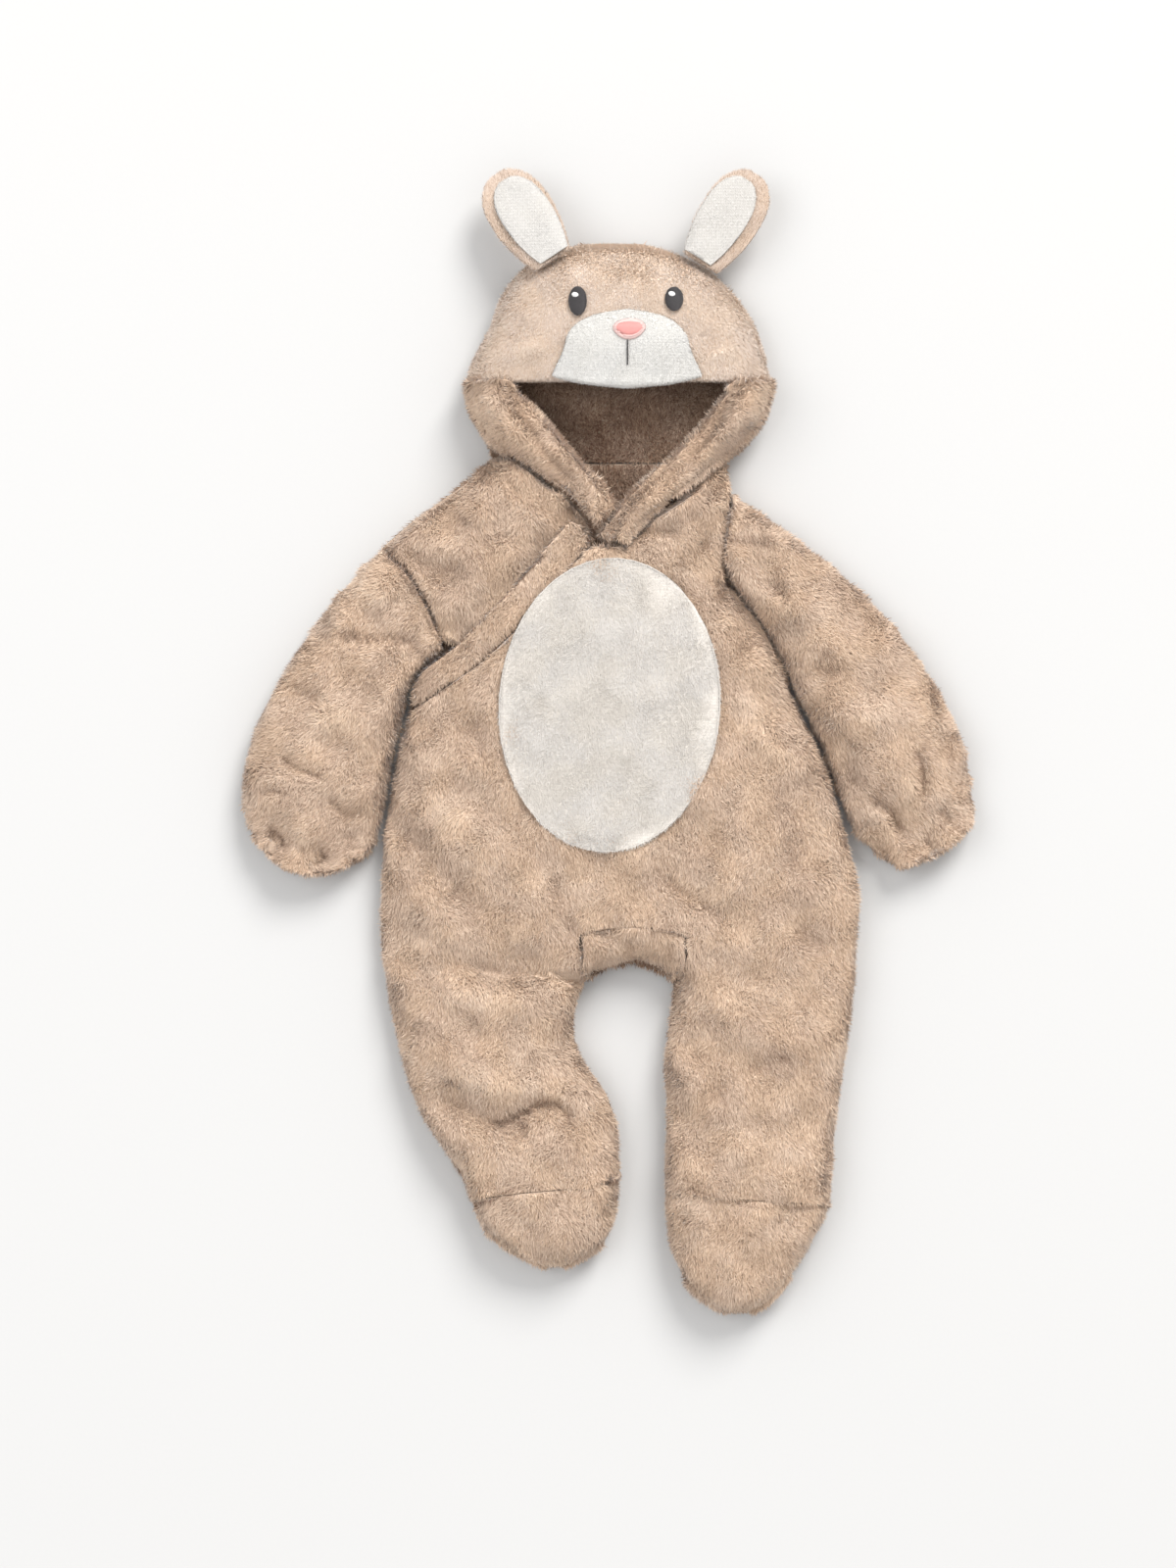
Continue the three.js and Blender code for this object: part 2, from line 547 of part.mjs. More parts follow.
// Least spacing of the columns, as t, where the lap begins, where it is down, and at its end.
const LAP_STOPS = { begins: 0.06, down: 0.09, apart: 0.015, beforeEnd: 0.04, last: 0.01 };

function underPlace(i, j, inside) {
  const y = UNDER_ROWS[i];
  const end = acrossAt(torso, underEdge(y) - SEAM, y);
  const { begins, down, apart, beforeEnd, last } = LAP_STOPS;
  const high = Math.max(Math.min(acrossAt(torso, bandUpper(y) - LAP_FROM, y), end - beforeEnd), begins);
  const low = Math.max(Math.min(acrossAt(torso, bandUpper(y) - LAP_TO, y), end - last), high + apart, down);
  const shown = SHOWN_COLUMNS - 1;
  const stops = Array.from({ length: shown }, (_, k) => (high * k) / shown);
  stops.push(high, low);
  while (stops.length <= UNDER_COLUMNS) {
    const left = UNDER_COLUMNS - stops.length + 1;
    stops.push(lerp(stops.at(-1), end, 1 / left));
  }
  const t = stops[j];
  const lap = smooth(upper(torso, t, y, 0).x - bandUpper(y), -LAP_FROM, -LAP_TO);
  const depth = LAP_DEPTH * lap;
  return upper(torso, t, y, inside ? lerp(WALL, LAP_DEPTH + LAP_THICK, lap) : depth);
}

add('under_front', wall({
  rows: UNDER_ROWS.length - 1,
  columns: UNDER_COLUMNS,
  outer: (i, j) => underPlace(i, j, false),
  inner: (i, j) => underPlace(i, j, true),
}), CLOTH);

// The band along the wrap front's edge, from the throat down to the side.
const BAND_ROWS = FRONT_ROWS.findIndex(([left]) => left === BAND_SPAN.lower[1]);
const BAND_COLUMNS = 4;
const BAND_EDGE = 2.5; // its turned edges lie this much lower than its middle

function bandPlace(i, j, inside) {
  const lowY = FRONT_ROWS[i][0];
  const along = (BAND_SPAN.lower[0] - lowY) / (BAND_SPAN.lower[0] - BAND_SPAN.lower[1]);
  const highY = lerp(BAND_SPAN.upper[0], BAND_SPAN.upper[1], along);
  const u = j / BAND_COLUMNS;
  const high = acrossAt(torso, bandUpper(highY), highY);
  const low = acrossAt(torso, bandLower(lowY), lowY);
  const edge = BAND_EDGE * Math.abs(2 * u - 1) ** 4;
  return upper(torso, lerp(high, low, u), lerp(highY, lowY, u), inside ? WALL : edge);
}

add('wrap_band', wall({
  rows: BAND_ROWS,
  columns: BAND_COLUMNS,
  outer: (i, j) => bandPlace(i, j, false),
  inner: (i, j) => bandPlace(i, j, true),
}), CLOTH);

// ---- Feet -------------------------------------------------------------------------------------

const FOOT_ROWS = 7;
const FOOT_COLUMNS = LEG_CELLS;
const SOLE_ROUND = 14;

for (const { side, left, right, seam, toe } of FEET) {
  const foot = {
    left: through(left),
    right: through(right),
    height: (y, depth) => (bodyCrown(y) - depth) * endRound(y - toe - depth, TOE_ROUND - depth),
    lift: () => 0,
  };
  const rowY = (i, t, depth) => {
    const q = 1 - (1 - i / FOOT_ROWS) ** TIP_ROWS;
    return lerp(lerp(seam[0], seam[1], t) - 2 * SEAM, toe + depth, q);
  };
  const over = (i, j, depth) => upper(foot, j / FOOT_COLUMNS, rowY(i, j / FOOT_COLUMNS, depth), depth);
  const under = (i, j, depth) => {
    const y = rowY(i, j / FOOT_COLUMNS, depth);
    return lower(foot, j / FOOT_COLUMNS, y, depth, endRound(y - toe - depth, SOLE_ROUND));
  };
  const footParts = [['foot_upper', over], ['foot_sole', under]];
  for (const [name, place] of footParts) {
    add(`${name}_${side}`, wall({
      rows: FOOT_ROWS,
      columns: FOOT_COLUMNS,
      outer: (i, j) => place(i, j, 0),
      inner: (i, j) => place(i, j, WALL),
    }), CLOTH);
  }
}

// ---- Sleeves ----------------------------------------------------------------------------------

const RING = 24;
const GATHERS = 9;
const GATHER_DEEP = 1.3;
const GATHER_ROWS = 3; // the rows by the hem that its elastic gathers

function sleeve(name, table, edge, armhole, outward) {
  const ringPlace = (i, k, depth) => {
    const { innerY, away, outerX, outerY, crown, bow } = table[i];
    const turn = (2 * Math.PI * k) / RING;
    const power = Math.sin(turn) >= 0 ? ROUND : FLAT;
    const across = fill(Math.cos(turn), power);
    const rise = Math.min(1, Math.abs(Math.sin(turn)) ** power * (power === FLAT ? PRESSED : 1));
    const inner = new THREE.Vector2(edge(innerY) + outward * (NEAR + away), innerY);
    const outer = new THREE.Vector2(outerX, outerY);
    const length = inner.distanceTo(outer);
    const f = 0.5 + (across * (length / 2 - depth)) / length;
    const plan = inner.clone().lerp(outer, f);
    if (i === 0) {
      plan.y = lerp(armhole.bottom, armhole.top, f);
      plan.x = edge(plan.y) + outward * 2 * SEAM;
    }
    const ahead = new THREE.Vector2(outer.y - inner.y, inner.x - outer.x).normalize();
    if (ahead.y > 0) ahead.negate();
    const gathered = smooth(i, table.length - 1 - GATHER_ROWS, table.length - 1);
    const wave = GATHER_DEEP * gathered * Math.cos(GATHERS * turn);
    plan.addScaledVector(ahead, bow * 4 * f * (1 - f));
    const height = Math.sin(turn) >= 0
      ? RIM + (crown + wave - foldAt(plan.x, plan.y) * smooth(i, 0, 1) - depth) * rise
      : RIM - (RIM - depth) * rise;
    return new THREE.Vector3(plan.x, plan.y, height);
  };
  add(name, wall({
    rows: table.length - 1,
    columns: RING,
    outer: (i, k) => ringPlace(i, k, 0),
    inner: (i, k) => ringPlace(i, k, WALL),
    ring: true,
  }), CLOTH);
}

sleeve('sleeve_left', SLEEVE_LEFT, bodyLeft, ARMHOLES.left, -1);
sleeve('sleeve_right', SLEEVE_RIGHT, bodyRight, ARMHOLES.right, 1);

// ---- Hood -------------------------------------------------------------------------------------

const HOOD_ROWS = 10;
const HOOD_COLUMNS = 18;
const HOOD_BACK_ROWS = 10;
const CROWN_ROWS = 1.3; // the hood's rows lie closer towards its round top
const BRIM_STARTS = 0.85; // the share of the way down at which the brim's turned edge thickens
const BRIM_THICK = 13;

function hoodFrontPlace(i, j, inside) {
  const q = (i / HOOD_ROWS) ** CROWN_ROWS;
  const depth = inside ? lerp(WALL, BRIM_THICK, smooth(q, BRIM_STARTS, 1)) : 0;
  const y = lerp(HOOD_TOP - (inside ? WALL : 0), BRIM_Y + SEAM, q);
  return upper(hood, j / HOOD_COLUMNS, y, depth);
}

add('hood_front', wall({
  rows: HOOD_ROWS,
  columns: HOOD_COLUMNS,
  outer: (i, j) => hoodFrontPlace(i, j, false),
  inner: (i, j) => hoodFrontPlace(i, j, true),
}), CLOTH);

function hoodBackPlace(i, j, depth) {
  const y = lerp(HOOD_TOP - depth, NECK_Y + SEAM, (i / HOOD_BACK_ROWS) ** CROWN_ROWS);
  return lower(hood, j / HOOD_COLUMNS, y, depth, endRound(HOOD_TOP - depth - y, SOLE_ROUND));
}

add('hood_back', wall({
  rows: HOOD_BACK_ROWS,
  columns: HOOD_COLUMNS,
  outer: (i, j) => hoodBackPlace(i, j, 0),
  inner: (i, j) => hoodBackPlace(i, j, WALL),
}), CLOTH);

// The sides of the hood roll over from the cheeks down to the throat.
const BRIM_ROWS = 12;
const BRIM_COLUMNS = 8;
const BRIM_LIP = 17; // the opening's edge lies this far below the roll's top
const BRIM_SHARE = 0.36; // the wall is at most this share of the roll's width
const ONTO_NECK = 14; // length over which the roll climbs from the back's edge onto the chest

function brim(name, table) {
  const column = (pick) => through(table.map((row, i) => [i / (table.length - 1), pick(row)]));
  const [outX, outY] = [column((row) => row.outer[0]), column((row) => row.outer[1])];
  const [inX, inY] = [column((row) => row.inner[0]), column((row) => row.inner[1])];
  const top = column((row) => row.top);
  const surface = (u, v) => {
    const f = (1 - Math.cos(Math.PI * u)) / 2;
    const onNeck = smooth(NECK_Y + ONTO_NECK - outY(v), 0, ONTO_NECK);
    const neck = skinAt(torso, outX(v), Math.min(outY(v), NECK_Y));
    const foot = lerp(RIM + SEAM, neck, onNeck);
    const from = u < 0.5 ? foot : top(v) - BRIM_LIP;
    const z = from + (top(v) - from) * Math.sin(Math.PI * u) ** ROUND;
    return new THREE.Vector3(lerp(outX(v), inX(v), f), lerp(outY(v), inY(v), f), z);
  };
  const thick = (v) => Math.min(WALL, BRIM_SHARE * Math.hypot(outX(v) - inX(v), outY(v) - inY(v)));
  add(name, wall({
    rows: BRIM_ROWS,
    columns: BRIM_COLUMNS,
    outer: (i, j) => surface(j / BRIM_COLUMNS, i / BRIM_ROWS),
    inner: (i, j) => {
      const place = within(surface, j / BRIM_COLUMNS, i / BRIM_ROWS, thick(i / BRIM_ROWS));
      place.y = i === 0 ? BRIM_Y - SEAM : Math.min(place.y, BRIM_Y - SEAM);
      return place;
    },
  }), CLOTH);
}

brim('brim_left', BRIM_LEFT);
brim('brim_right', BRIM_RIGHT);

// ---- Ears -------------------------------------------------------------------------------------

const EAR_ROWS = 9;
const EAR_COLUMNS = 6;
const earSides = through([[0, 0.64], [0.25, 0.9], [0.5, 1], [0.75, 0.97], [1, 0.85]]);
const earWidth = (r) => earSides(r) * endRound(1.01 - r, EAR.round);

for (const { side, base, tip, half, inset } of EARS) {
  const root = new THREE.Vector2(...base);
  const axis = new THREE.Vector2(...tip).sub(root);
  const acrossAxis = new THREE.Vector2(axis.y, -axis.x).normalize();
  const spine = (r) => lerp(skinAt(hood, ...base) + 2 * SEAM, EAR.tipZ, r ** EAR.sag);
  const bottom = (u, r) => spine(r) + EAR.cup * u * u;
  const thickness = (u, r) => EAR.thick * (1 - EAR.sideThin * u ** 4) * (1 - EAR.tipThin * r ** 6);
  const top = (u, r) => bottom(u, r) + thickness(u, r);
  const place = (off, r, height) => {
    const plan = root.clone().addScaledVector(axis, r).addScaledVector(acrossAxis, off);
    return new THREE.Vector3(plan.x, plan.y, height);
  };
  const across = (j) => (2 * j) / EAR_COLUMNS - 1;
  const along = (i) => 1 - (1 - i / EAR_ROWS) ** TIP_ROWS;
  const ear = (i, j, height) => {
    const [u, r] = [across(j), along(i)];
    return place(u * half * earWidth(r), r, height(u, r));
  };
  add(`ear_${side}`, wall({
    rows: EAR_ROWS,
    columns: EAR_COLUMNS,
    outer: (i, j) => ear(i, j, top),
    inner: (i, j) => ear(i, j, bottom),
  }), CLOTH);
  const lining = (i, j, raise) => {
    const r = lerp(LINING.from, LINING.to, along(i));
    const off = across(j) * half * earWidth(along(i)) * LINING.scale + inset;
    const under = top(clamp(off / (half * earWidth(r)), -1, 1), r) + 2 * SEAM;
    return place(off, r, under + raise * (1 - LINING.sideThin * across(j) ** 4));
  };
  add(`ear_lining_${side}`, wall({
    rows: EAR_ROWS,
    columns: EAR_COLUMNS,
    outer: (i, j) => lining(i, j, LINING.thick),
    inner: (i, j) => lining(i, j, 0),
  }), WHITE);
}

// ---- Face and belly ---------------------------------------------------------------------------

const onHood = (raise) => (x, y) => skinAt(hood, x, y) + raise;

const muzzleSides = through(MUZZLE_SIDES);

add('muzzle', patch({
  cells: 10,
  plan: (a, b) => {
    const y = lerp(MUZZLE.corners, b > 0 ? MUZZLE.top : MUZZLE.bottom, Math.abs(b));
    const share = a / Math.sqrt(Math.max(1 - b * b, 1e-6));
    return [MUZZLE.x + muzzleSides(y) * clamp(share, -1, 1), y];
  },
  skin: onHood(0),
  gap: 2 * SEAM,
  thick: MUZZLE.thick,
}), WHITE);

add('nose', patch({
  cells: 4,
  plan: (a, b) => [NOSE.x + NOSE.rx * a * (1 + NOSE.full * b), NOSE.y + NOSE.ry * b],
  skin: onHood(MUZZLE.thick + 2 * SEAM),
  gap: SEAM,
  thick: NOSE.thick,
}), PINK);

for (const { side, x, y, rx, ry } of EYES) {
  add(`eye_${side}`, patch({
    cells: 4,
    plan: (a, b) => [x + rx * a, y + ry * b],
    skin: onHood(0),
    gap: 2 * SEAM,
    thick: EYE_THICK,
  }), CHARCOAL);
}

add('belly_patch', patch({
  cells: 10,
  plan: (a, b) => [
    BELLY.x + BELLY.rx * a * Math.cos(BELLY.lean) + BELLY.ry * b * Math.sin(BELLY.lean),
    BELLY.y + BELLY.ry * b - BELLY.rx * a * Math.sin(BELLY.lean),
  ],
  skin: (x, y) => skinAt(torso, x, y),
  gap: 2 * SEAM,
  thick: BELLY.thick,
}), CREAM);

export default suit;
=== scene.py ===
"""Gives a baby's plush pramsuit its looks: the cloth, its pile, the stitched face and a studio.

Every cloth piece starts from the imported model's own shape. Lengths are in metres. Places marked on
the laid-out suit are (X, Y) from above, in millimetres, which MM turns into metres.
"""

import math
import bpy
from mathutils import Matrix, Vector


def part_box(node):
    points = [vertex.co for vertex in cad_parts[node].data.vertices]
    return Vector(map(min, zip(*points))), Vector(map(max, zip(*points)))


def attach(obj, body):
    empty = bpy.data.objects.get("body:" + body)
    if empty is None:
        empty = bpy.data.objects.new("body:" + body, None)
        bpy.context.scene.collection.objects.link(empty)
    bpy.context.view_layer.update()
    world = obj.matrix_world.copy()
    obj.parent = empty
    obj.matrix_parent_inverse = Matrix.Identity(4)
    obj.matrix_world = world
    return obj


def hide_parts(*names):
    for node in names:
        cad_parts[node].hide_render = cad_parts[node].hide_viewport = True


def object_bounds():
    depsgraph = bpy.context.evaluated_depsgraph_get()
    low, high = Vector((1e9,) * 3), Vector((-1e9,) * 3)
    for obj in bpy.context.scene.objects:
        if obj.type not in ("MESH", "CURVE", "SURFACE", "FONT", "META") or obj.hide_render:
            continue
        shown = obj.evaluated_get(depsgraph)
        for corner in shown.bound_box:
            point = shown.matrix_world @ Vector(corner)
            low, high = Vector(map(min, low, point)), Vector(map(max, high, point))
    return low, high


bl_info = {
    "name": "Plush Pramsuit",
    "version": (1, 0, 0),
    "blender": (4, 5, 0),
    "location": "View3D > Sidebar > Pramsuit",
    "description": "Makes the cloth, pile and stitched face of a laid-out baby's pramsuit",
    "category": "Object",
}

from dataclasses import dataclass
from functools import cache

import bpy
import numpy as np
from bpy.props import FloatProperty, FloatVectorProperty, PointerProperty
from mathutils import Vector
from mathutils.bvhtree import BVHTree

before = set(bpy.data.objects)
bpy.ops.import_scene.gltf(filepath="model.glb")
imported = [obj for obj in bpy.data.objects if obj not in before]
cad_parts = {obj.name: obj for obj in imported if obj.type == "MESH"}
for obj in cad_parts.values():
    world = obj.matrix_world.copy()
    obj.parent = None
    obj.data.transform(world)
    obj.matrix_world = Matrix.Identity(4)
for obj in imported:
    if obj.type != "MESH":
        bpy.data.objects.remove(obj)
CAD_BOX = [list(corner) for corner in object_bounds()]

MM = 0.001
UP = np.array([0.0, 0.0, 1.0])
DOWN = Vector((0, 0, -1))
ABOVE = 1.0  # a height from which the whole suit is looked down on
CLEARANCE = 0.1 * MM  # between the cloth and the floor, and before a look sets out

# Which way each cut piece faces: an upper piece's right side looks up, a lower one's looks down at the floor,
# and a tube's right side is its outside. All the rest have pile all round.
UPPER = (
    "front_panel", "gusset", "under_front", "wrap_band", "foot_upper_left", "foot_upper_right", "hood_front",
    "brim_left", "brim_right",
)
LOWER = ("back_panel", "foot_sole_left", "foot_sole_right", "hood_back")
TUBES = ("sleeve_left", "sleeve_right")
RIGHT, RIM, WRONG = 0, 1, 2  # the sides of a cut piece: its pile side, its edges, and its back


# ---- settings ----


def swatch(name, description, default):
    """A setting that is a colour."""
    return FloatVectorProperty(
        name=name, description=description, default=default, subtype="COLOR", min=0.0, max=1.0
    )


class PileSettings(bpy.types.PropertyGroup):
    """The plush and the velour, as a maker would choose them from a swatch."""

    plush_length: FloatProperty(
        name="Plush length", description="Length of a fibre of the body's plush", default=4.6 * MM,
        min=2 * MM, max=20 * MM, unit="LENGTH",
    )
    plush_width: FloatProperty(
        name="Plush width", description="Width of a lock of plush fibres at its root", default=0.85 * MM,
        min=0.1 * MM, max=3 * MM, unit="LENGTH",
    )
    plush_density: FloatProperty(
        name="Plush density", description="Locks on a square millimetre of the side that shows", default=1.9,
        min=0.05, max=5.0,
    )
    velour_length: FloatProperty(
        name="Velour length", description="Length of a fibre of the belly's velour", default=2.8 * MM,
        min=0.5 * MM, max=8 * MM, unit="LENGTH",
    )
    # The darkest end of the plush's tones, which the pile nears only with painted shade, deep inside the hood
    # and in folds.
    plush_dark: swatch("Plush shade", "Colour of the plush deep inside the hood", (0.14, 0.072, 0.043))
    plush_light: swatch("Plush tip", "Colour of the lightest fibre tips", (0.77, 0.605, 0.465))
    # The face's tips are lighter than the body's partly for real, as shorn pile shows paler tips, and partly
    # with painted light, where light falls on the top of the hood.
    face_tip_and_painted_light: swatch("Face tip", "Colour of the lightest tips on the shorn face", (0.79, 0.675, 0.58))
    cream: swatch("Belly velour", "Colour of the cream velour", (0.67, 0.634, 0.59))
    white: swatch("Muzzle velour", "Colour of the white velour", (0.65, 0.64, 0.618))


class StageSettings(bpy.types.PropertyGroup):
    """The floor, the lights and the camera above it."""

    view_height: FloatProperty(
        name="View height", description="How high the camera hangs above the floor", default=3.0,
        min=1.0, max=10.0, unit="LENGTH",
    )
    view_length: FloatProperty(
        name="View length", description="Length of floor that the picture shows from top to bottom",
        default=1.088, min=0.5, max=4.0, unit="LENGTH",
    )
    view_shift: FloatVectorProperty(
        name="View centre", description="Point of the floor under the camera",
        default=(-13.9 * MM, -28.6 * MM), size=2, subtype="TRANSLATION", unit="LENGTH",
    )
    key_energy: FloatProperty(
        name="Key light", description="Power of the large soft light at the upper right", default=960.0,
        min=0.0, max=5000.0, unit="POWER",
    )
    sky: FloatProperty(
        name="Room light", description="Strength of the even light from all round", default=0.90,
        min=0.0, max=5.0,
    )


# ---- shader maths ----


class Wire:
    """A socket of a material, which Python's operators join to new Math nodes."""

    def __init__(self, shade, socket):
        self.shade = shade
        self.socket = socket

    def _maths(self, operation, a, b):
        return self.shade.add("ShaderNodeMath", {"operation": operation}, {0: a, 1: b})

    def __add__(self, other):
        return self._maths("ADD", self, other)

    def __mul__(self, other):
        return self._maths("MULTIPLY", self, other)


OBJECT_PLACE = 3  # which output of a Texture Coordinate node tells the place on the piece itself
MIX_FACTOR, MIX_A, MIX_B, MIX_COLOUR = 0, 6, 7, 2  # the colour sockets of a Mix node, the last an output


class Shade:
    """One material and the few ways in which its nodes are added."""

    def __init__(self, name, **constants):
        self.material = bpy.data.materials.new(name)
        self.material.use_nodes = True
        self.tree = self.material.node_tree
        self.skin = self.tree.nodes["Principled BSDF"]
        for socket, value in constants.items():
            self.skin.inputs[socket.replace("_", " ")].default_value = value

    def add(self, kind, settings=None, sockets=None, output=0):
        """Adds a node, sets it, gives its sockets their values or links, and returns one of its outputs."""
        node = self.tree.nodes.new(kind)
        for name, value in (settings or {}).items():
            setattr(node, name, value)
        self.fill(node, sockets or {})
        return Wire(self, node.outputs[output])

    def fill(self, node, sockets):
        for name, value in sockets.items():
            if isinstance(value, Wire):
                self.tree.links.new(value.socket, node.inputs[name])
            else:
                node.inputs[name].default_value = value

    def place(self):
        """Where a point of the piece is, in metres."""
        return self.add("ShaderNodeTexCoord", output=OBJECT_PLACE)

    def noise(self, scale, detail=2.0):
        return self.add("ShaderNodeTexNoise", {}, {"Vector": self.place(), "Scale": scale, "Detail": detail})

    def wave(self, direction, scale):
        sockets = {"Vector": self.place(), "Scale": scale}
        return self.add("ShaderNodeTexWave", {"bands_direction": direction}, sockets)

    def mix(self, factor, a, b):
        """A colour from a to b."""
        node = self.tree.nodes.new("ShaderNodeMix")
        node.data_type = "RGBA"
        self.fill(node, {MIX_FACTOR: factor, MIX_A: a, MIX_B: b})
        return Wire(self, node.outputs[MIX_COLOUR])

    def feed(self, socket, wire):
        self.tree.links.new(wire.socket, self.skin.inputs[socket])

    def bump(self, height, strength, distance):
        sockets = {"Height": height, "Strength": strength, "Distance": distance}
        self.feed("Normal", self.add("ShaderNodeBump", {}, sockets))


def rgba(colour):
    return (*colour, 1.0)


def blend(a, b, share):
    return tuple(x + (y - x) * share for x, y in zip(a, b))


def knitted_ground(name, dark, light):
    """The knitted ground cloth that pile stands on, with its wales, courses and an uneven dye."""
    shade = Shade(name, Roughness=0.9, Sheen_Weight=0.3, Sheen_Roughness=0.5)
    mottle = shade.noise(55.0, 3.0)
    shade.feed("Base Color", shade.mix(mottle, rgba(dark), rgba(light)))
    wales, courses = shade.wave("X", 190.0), shade.wave("Y", 150.0)
    shade.bump(wales * courses + mottle * 0.5, 0.5, 0.6 * MM)
    return shade.material


def fibre_tones(name, dark, light, count, sheen, rich=0.0, warmth=0.022):
    """One dye lot's tones, dark to light: first all the warm ones, then as many cool ones.

    rich deepens the middle tones' colour, as light does that passes through several fibres.
    """
    tones = []
    for hue, turn in (("warm", warmth), ("cool", -warmth)):
        for step in range(count):
            share = step / (count - 1)
            red, green, blue = blend(dark, light, share)
            deep = rich * 4 * share * (1 - share)
            colour = (min(1.0, red * (1 + turn * 0.5)), green * (1 - deep * 0.6), blue * (1 - deep - turn))
            shade = Shade(
                f"{name}_{hue}_{step}",
                Base_Color=rgba(colour),
                Roughness=0.85 - 0.2 * share,
                Specular_IOR_Level=0.25,
                Sheen_Weight=sheen,
                Sheen_Roughness=0.5,
            )
            tones.append(shade.material)
    return tones


def embroidery_thread(name, colour):
    """Lustrous twisted thread: fine slanting plies along it, and a little unevenness in the dye."""
    shade = Shade(name, Roughness=0.45, Sheen_Weight=0.2, Specular_IOR_Level=0.5)
    uneven = shade.noise(700.0)
    shade.feed("Base Color", shade.mix(uneven, rgba(blend(colour, (0, 0, 0), 0.18)), rgba(colour)))
    shade.bump(shade.wave("DIAGONAL", 900.0), 0.35, 0.15 * MM)
    return shade.material


# ---- shapes as arrays ----


def only(piece):
    """Selects this piece alone and makes it the active one."""
    bpy.ops.object.select_all(action="DESELECT")
    piece.select_set(True)
    bpy.context.view_layer.objects.active = piece


def new_piece(name, mesh, materials):
    piece = bpy.data.objects.new(name, mesh)
    bpy.context.scene.collection.objects.link(piece)
    mesh.materials.clear()
    for material in materials:
        mesh.materials.append(material)
    return piece


MERGE = 0.02 * MM  # corners closer than this are one
FLATTEST, SQUAREST = math.radians(50), math.radians(60)  # how far two triangles of a quad may differ
SHARP, HELD = math.radians(62), 0.75  # an edge that turns more than this keeps its fold, by this share


def copy_of(node, name, levels, material, mark=None):
    """The node's own shape as a merged copy of quads, rounded by a subdivision surface.

    mark may number the copy's triangles, and then each triangle's number in the finished piece is given too.
    """
    piece = new_piece(name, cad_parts[node].data.copy(), [material] * 3)
    only(piece)
    bpy.ops.object.mode_set(mode="EDIT")
    bpy.ops.mesh.customdata_custom_splitnormals_clear()
    bpy.ops.mesh.select_all(action="SELECT")
    bpy.ops.mesh.remove_doubles(threshold=MERGE)
    bpy.ops.object.mode_set(mode="OBJECT")
    if mark:
        piece.data.polygons.foreach_set("material_index", mark(node, Shape(piece.data)).astype(np.int32))
    bpy.ops.object.mode_set(mode="EDIT")
    bpy.ops.mesh.select_all(action="SELECT")
    bpy.ops.mesh.tris_convert_to_quads(face_threshold=FLATTEST, shape_threshold=SQUAREST, materials=True)
    bpy.ops.mesh.select_all(action="DESELECT")
    bpy.ops.mesh.edges_select_sharp(sharpness=SHARP)
    bpy.ops.transform.edge_crease(value=HELD)
    bpy.ops.object.mode_set(mode="OBJECT")
    if levels:
        smooth = piece.modifiers.new("Rounded cloth", "SUBSURF")
        smooth.levels = smooth.render_levels = levels
        bpy.ops.object.modifier_apply(modifier=smooth.name)
    bpy.ops.object.shade_smooth()
    mesh = piece.data
    mesh.calc_loop_triangles()
    numbers = gather(mesh.polygons, "material_index", 1, np.int32)
    numbers = numbers[gather(mesh.loop_triangles, "polygon_index", 1, np.int32)]
    mesh.polygons.foreach_set("material_index", np.zeros(len(mesh.polygons), np.int32))
    while len(mesh.materials) > 1:
        mesh.materials.pop()
    return piece, numbers


def gather(items, name, width=1, kind=np.float32):
    found = np.empty(len(items) * width, kind)
    items.foreach_get(name, found)
    return found.reshape(-1, width) if width > 1 else found


class Shape:
    """A mesh as arrays: its points, triangles, and each triangle's middle, normal and area."""

    def __init__(self, mesh):
        mesh.calc_loop_triangles()
        self.points = gather(mesh.vertices, "co", 3).astype(float)
        self.triangles = gather(mesh.loop_triangles, "vertices", 3, np.int32)
        self.measure()

    def measure(self):
        a, b, c = (self.points[self.triangles[:, i]] for i in range(3))
        cross = np.cross(b - a, c - a)
        double = np.linalg.norm(cross, axis=1)
        self.areas = double / 2
        self.normals = cross / np.maximum(double, 1e-12)[:, None]
        self.middles = (a + b + c) / 3

    def corners_of(self, chosen):
        """Which points are corners of the chosen triangles."""
        found = np.zeros(len(self.points), bool)
        found[self.triangles[chosen].ravel()] = True
        return found

    def point_normals(self, weights):
        """Each point's normal, weighed over the triangles round it."""
        found = np.zeros_like(self.points)
        for corner in range(3):
            np.add.at(found, self.triangles[:, corner], self.normals * (self.areas * weights)[:, None])
        return unit(found)


def unit(vectors):
    return vectors / np.maximum(np.linalg.norm(vectors, axis=-1, keepdims=True), 1e-9)


def soft_step(value, low, high):
    share = np.clip((value - low) / (high - low), 0.0, 1.0)
    return share * share * (3 - 2 * share)


class Drift:
    """A smooth seeded field that wanders between about -1 and 1 over a stated distance."""

    def __init__(self, seed, distance, waves=20):
        rng = np.random.default_rng(seed)
        heading = unit(rng.normal(size=(waves, 3)))
        self.waves = heading * (2 * math.pi / distance) * rng.uniform(0.6, 1.7, (waves, 1))
        self.phases = rng.uniform(0, 2 * math.pi, waves)
        self.scale = math.sqrt(2.0 / waves)

    def __call__(self, points):
        total = np.zeros(len(points))
        for wave, phase in zip(self.waves, self.phases):
            total += np.sin(points @ wave + phase)
        return total * self.scale


def drift_vectors(seed, distance, points):
    return np.stack([Drift(seed + axis, distance)(points) for axis in range(3)], 1)


def tree_of(*nodes):
    """A tree of the named nodes' own triangles, for looking along a line."""
    points, triangles, start = [], [], 0
    for node in nodes:
        shape = Shape(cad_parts[node].data)
        points.append(shape.points)
        triangles.append(shape.triangles + start)
        start += len(shape.points)
    return BVHTree.FromPolygons(np.concatenate(points).tolist(), np.concatenate(triangles).tolist())


SUIT_TREE = tree_of(*sorted(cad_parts))

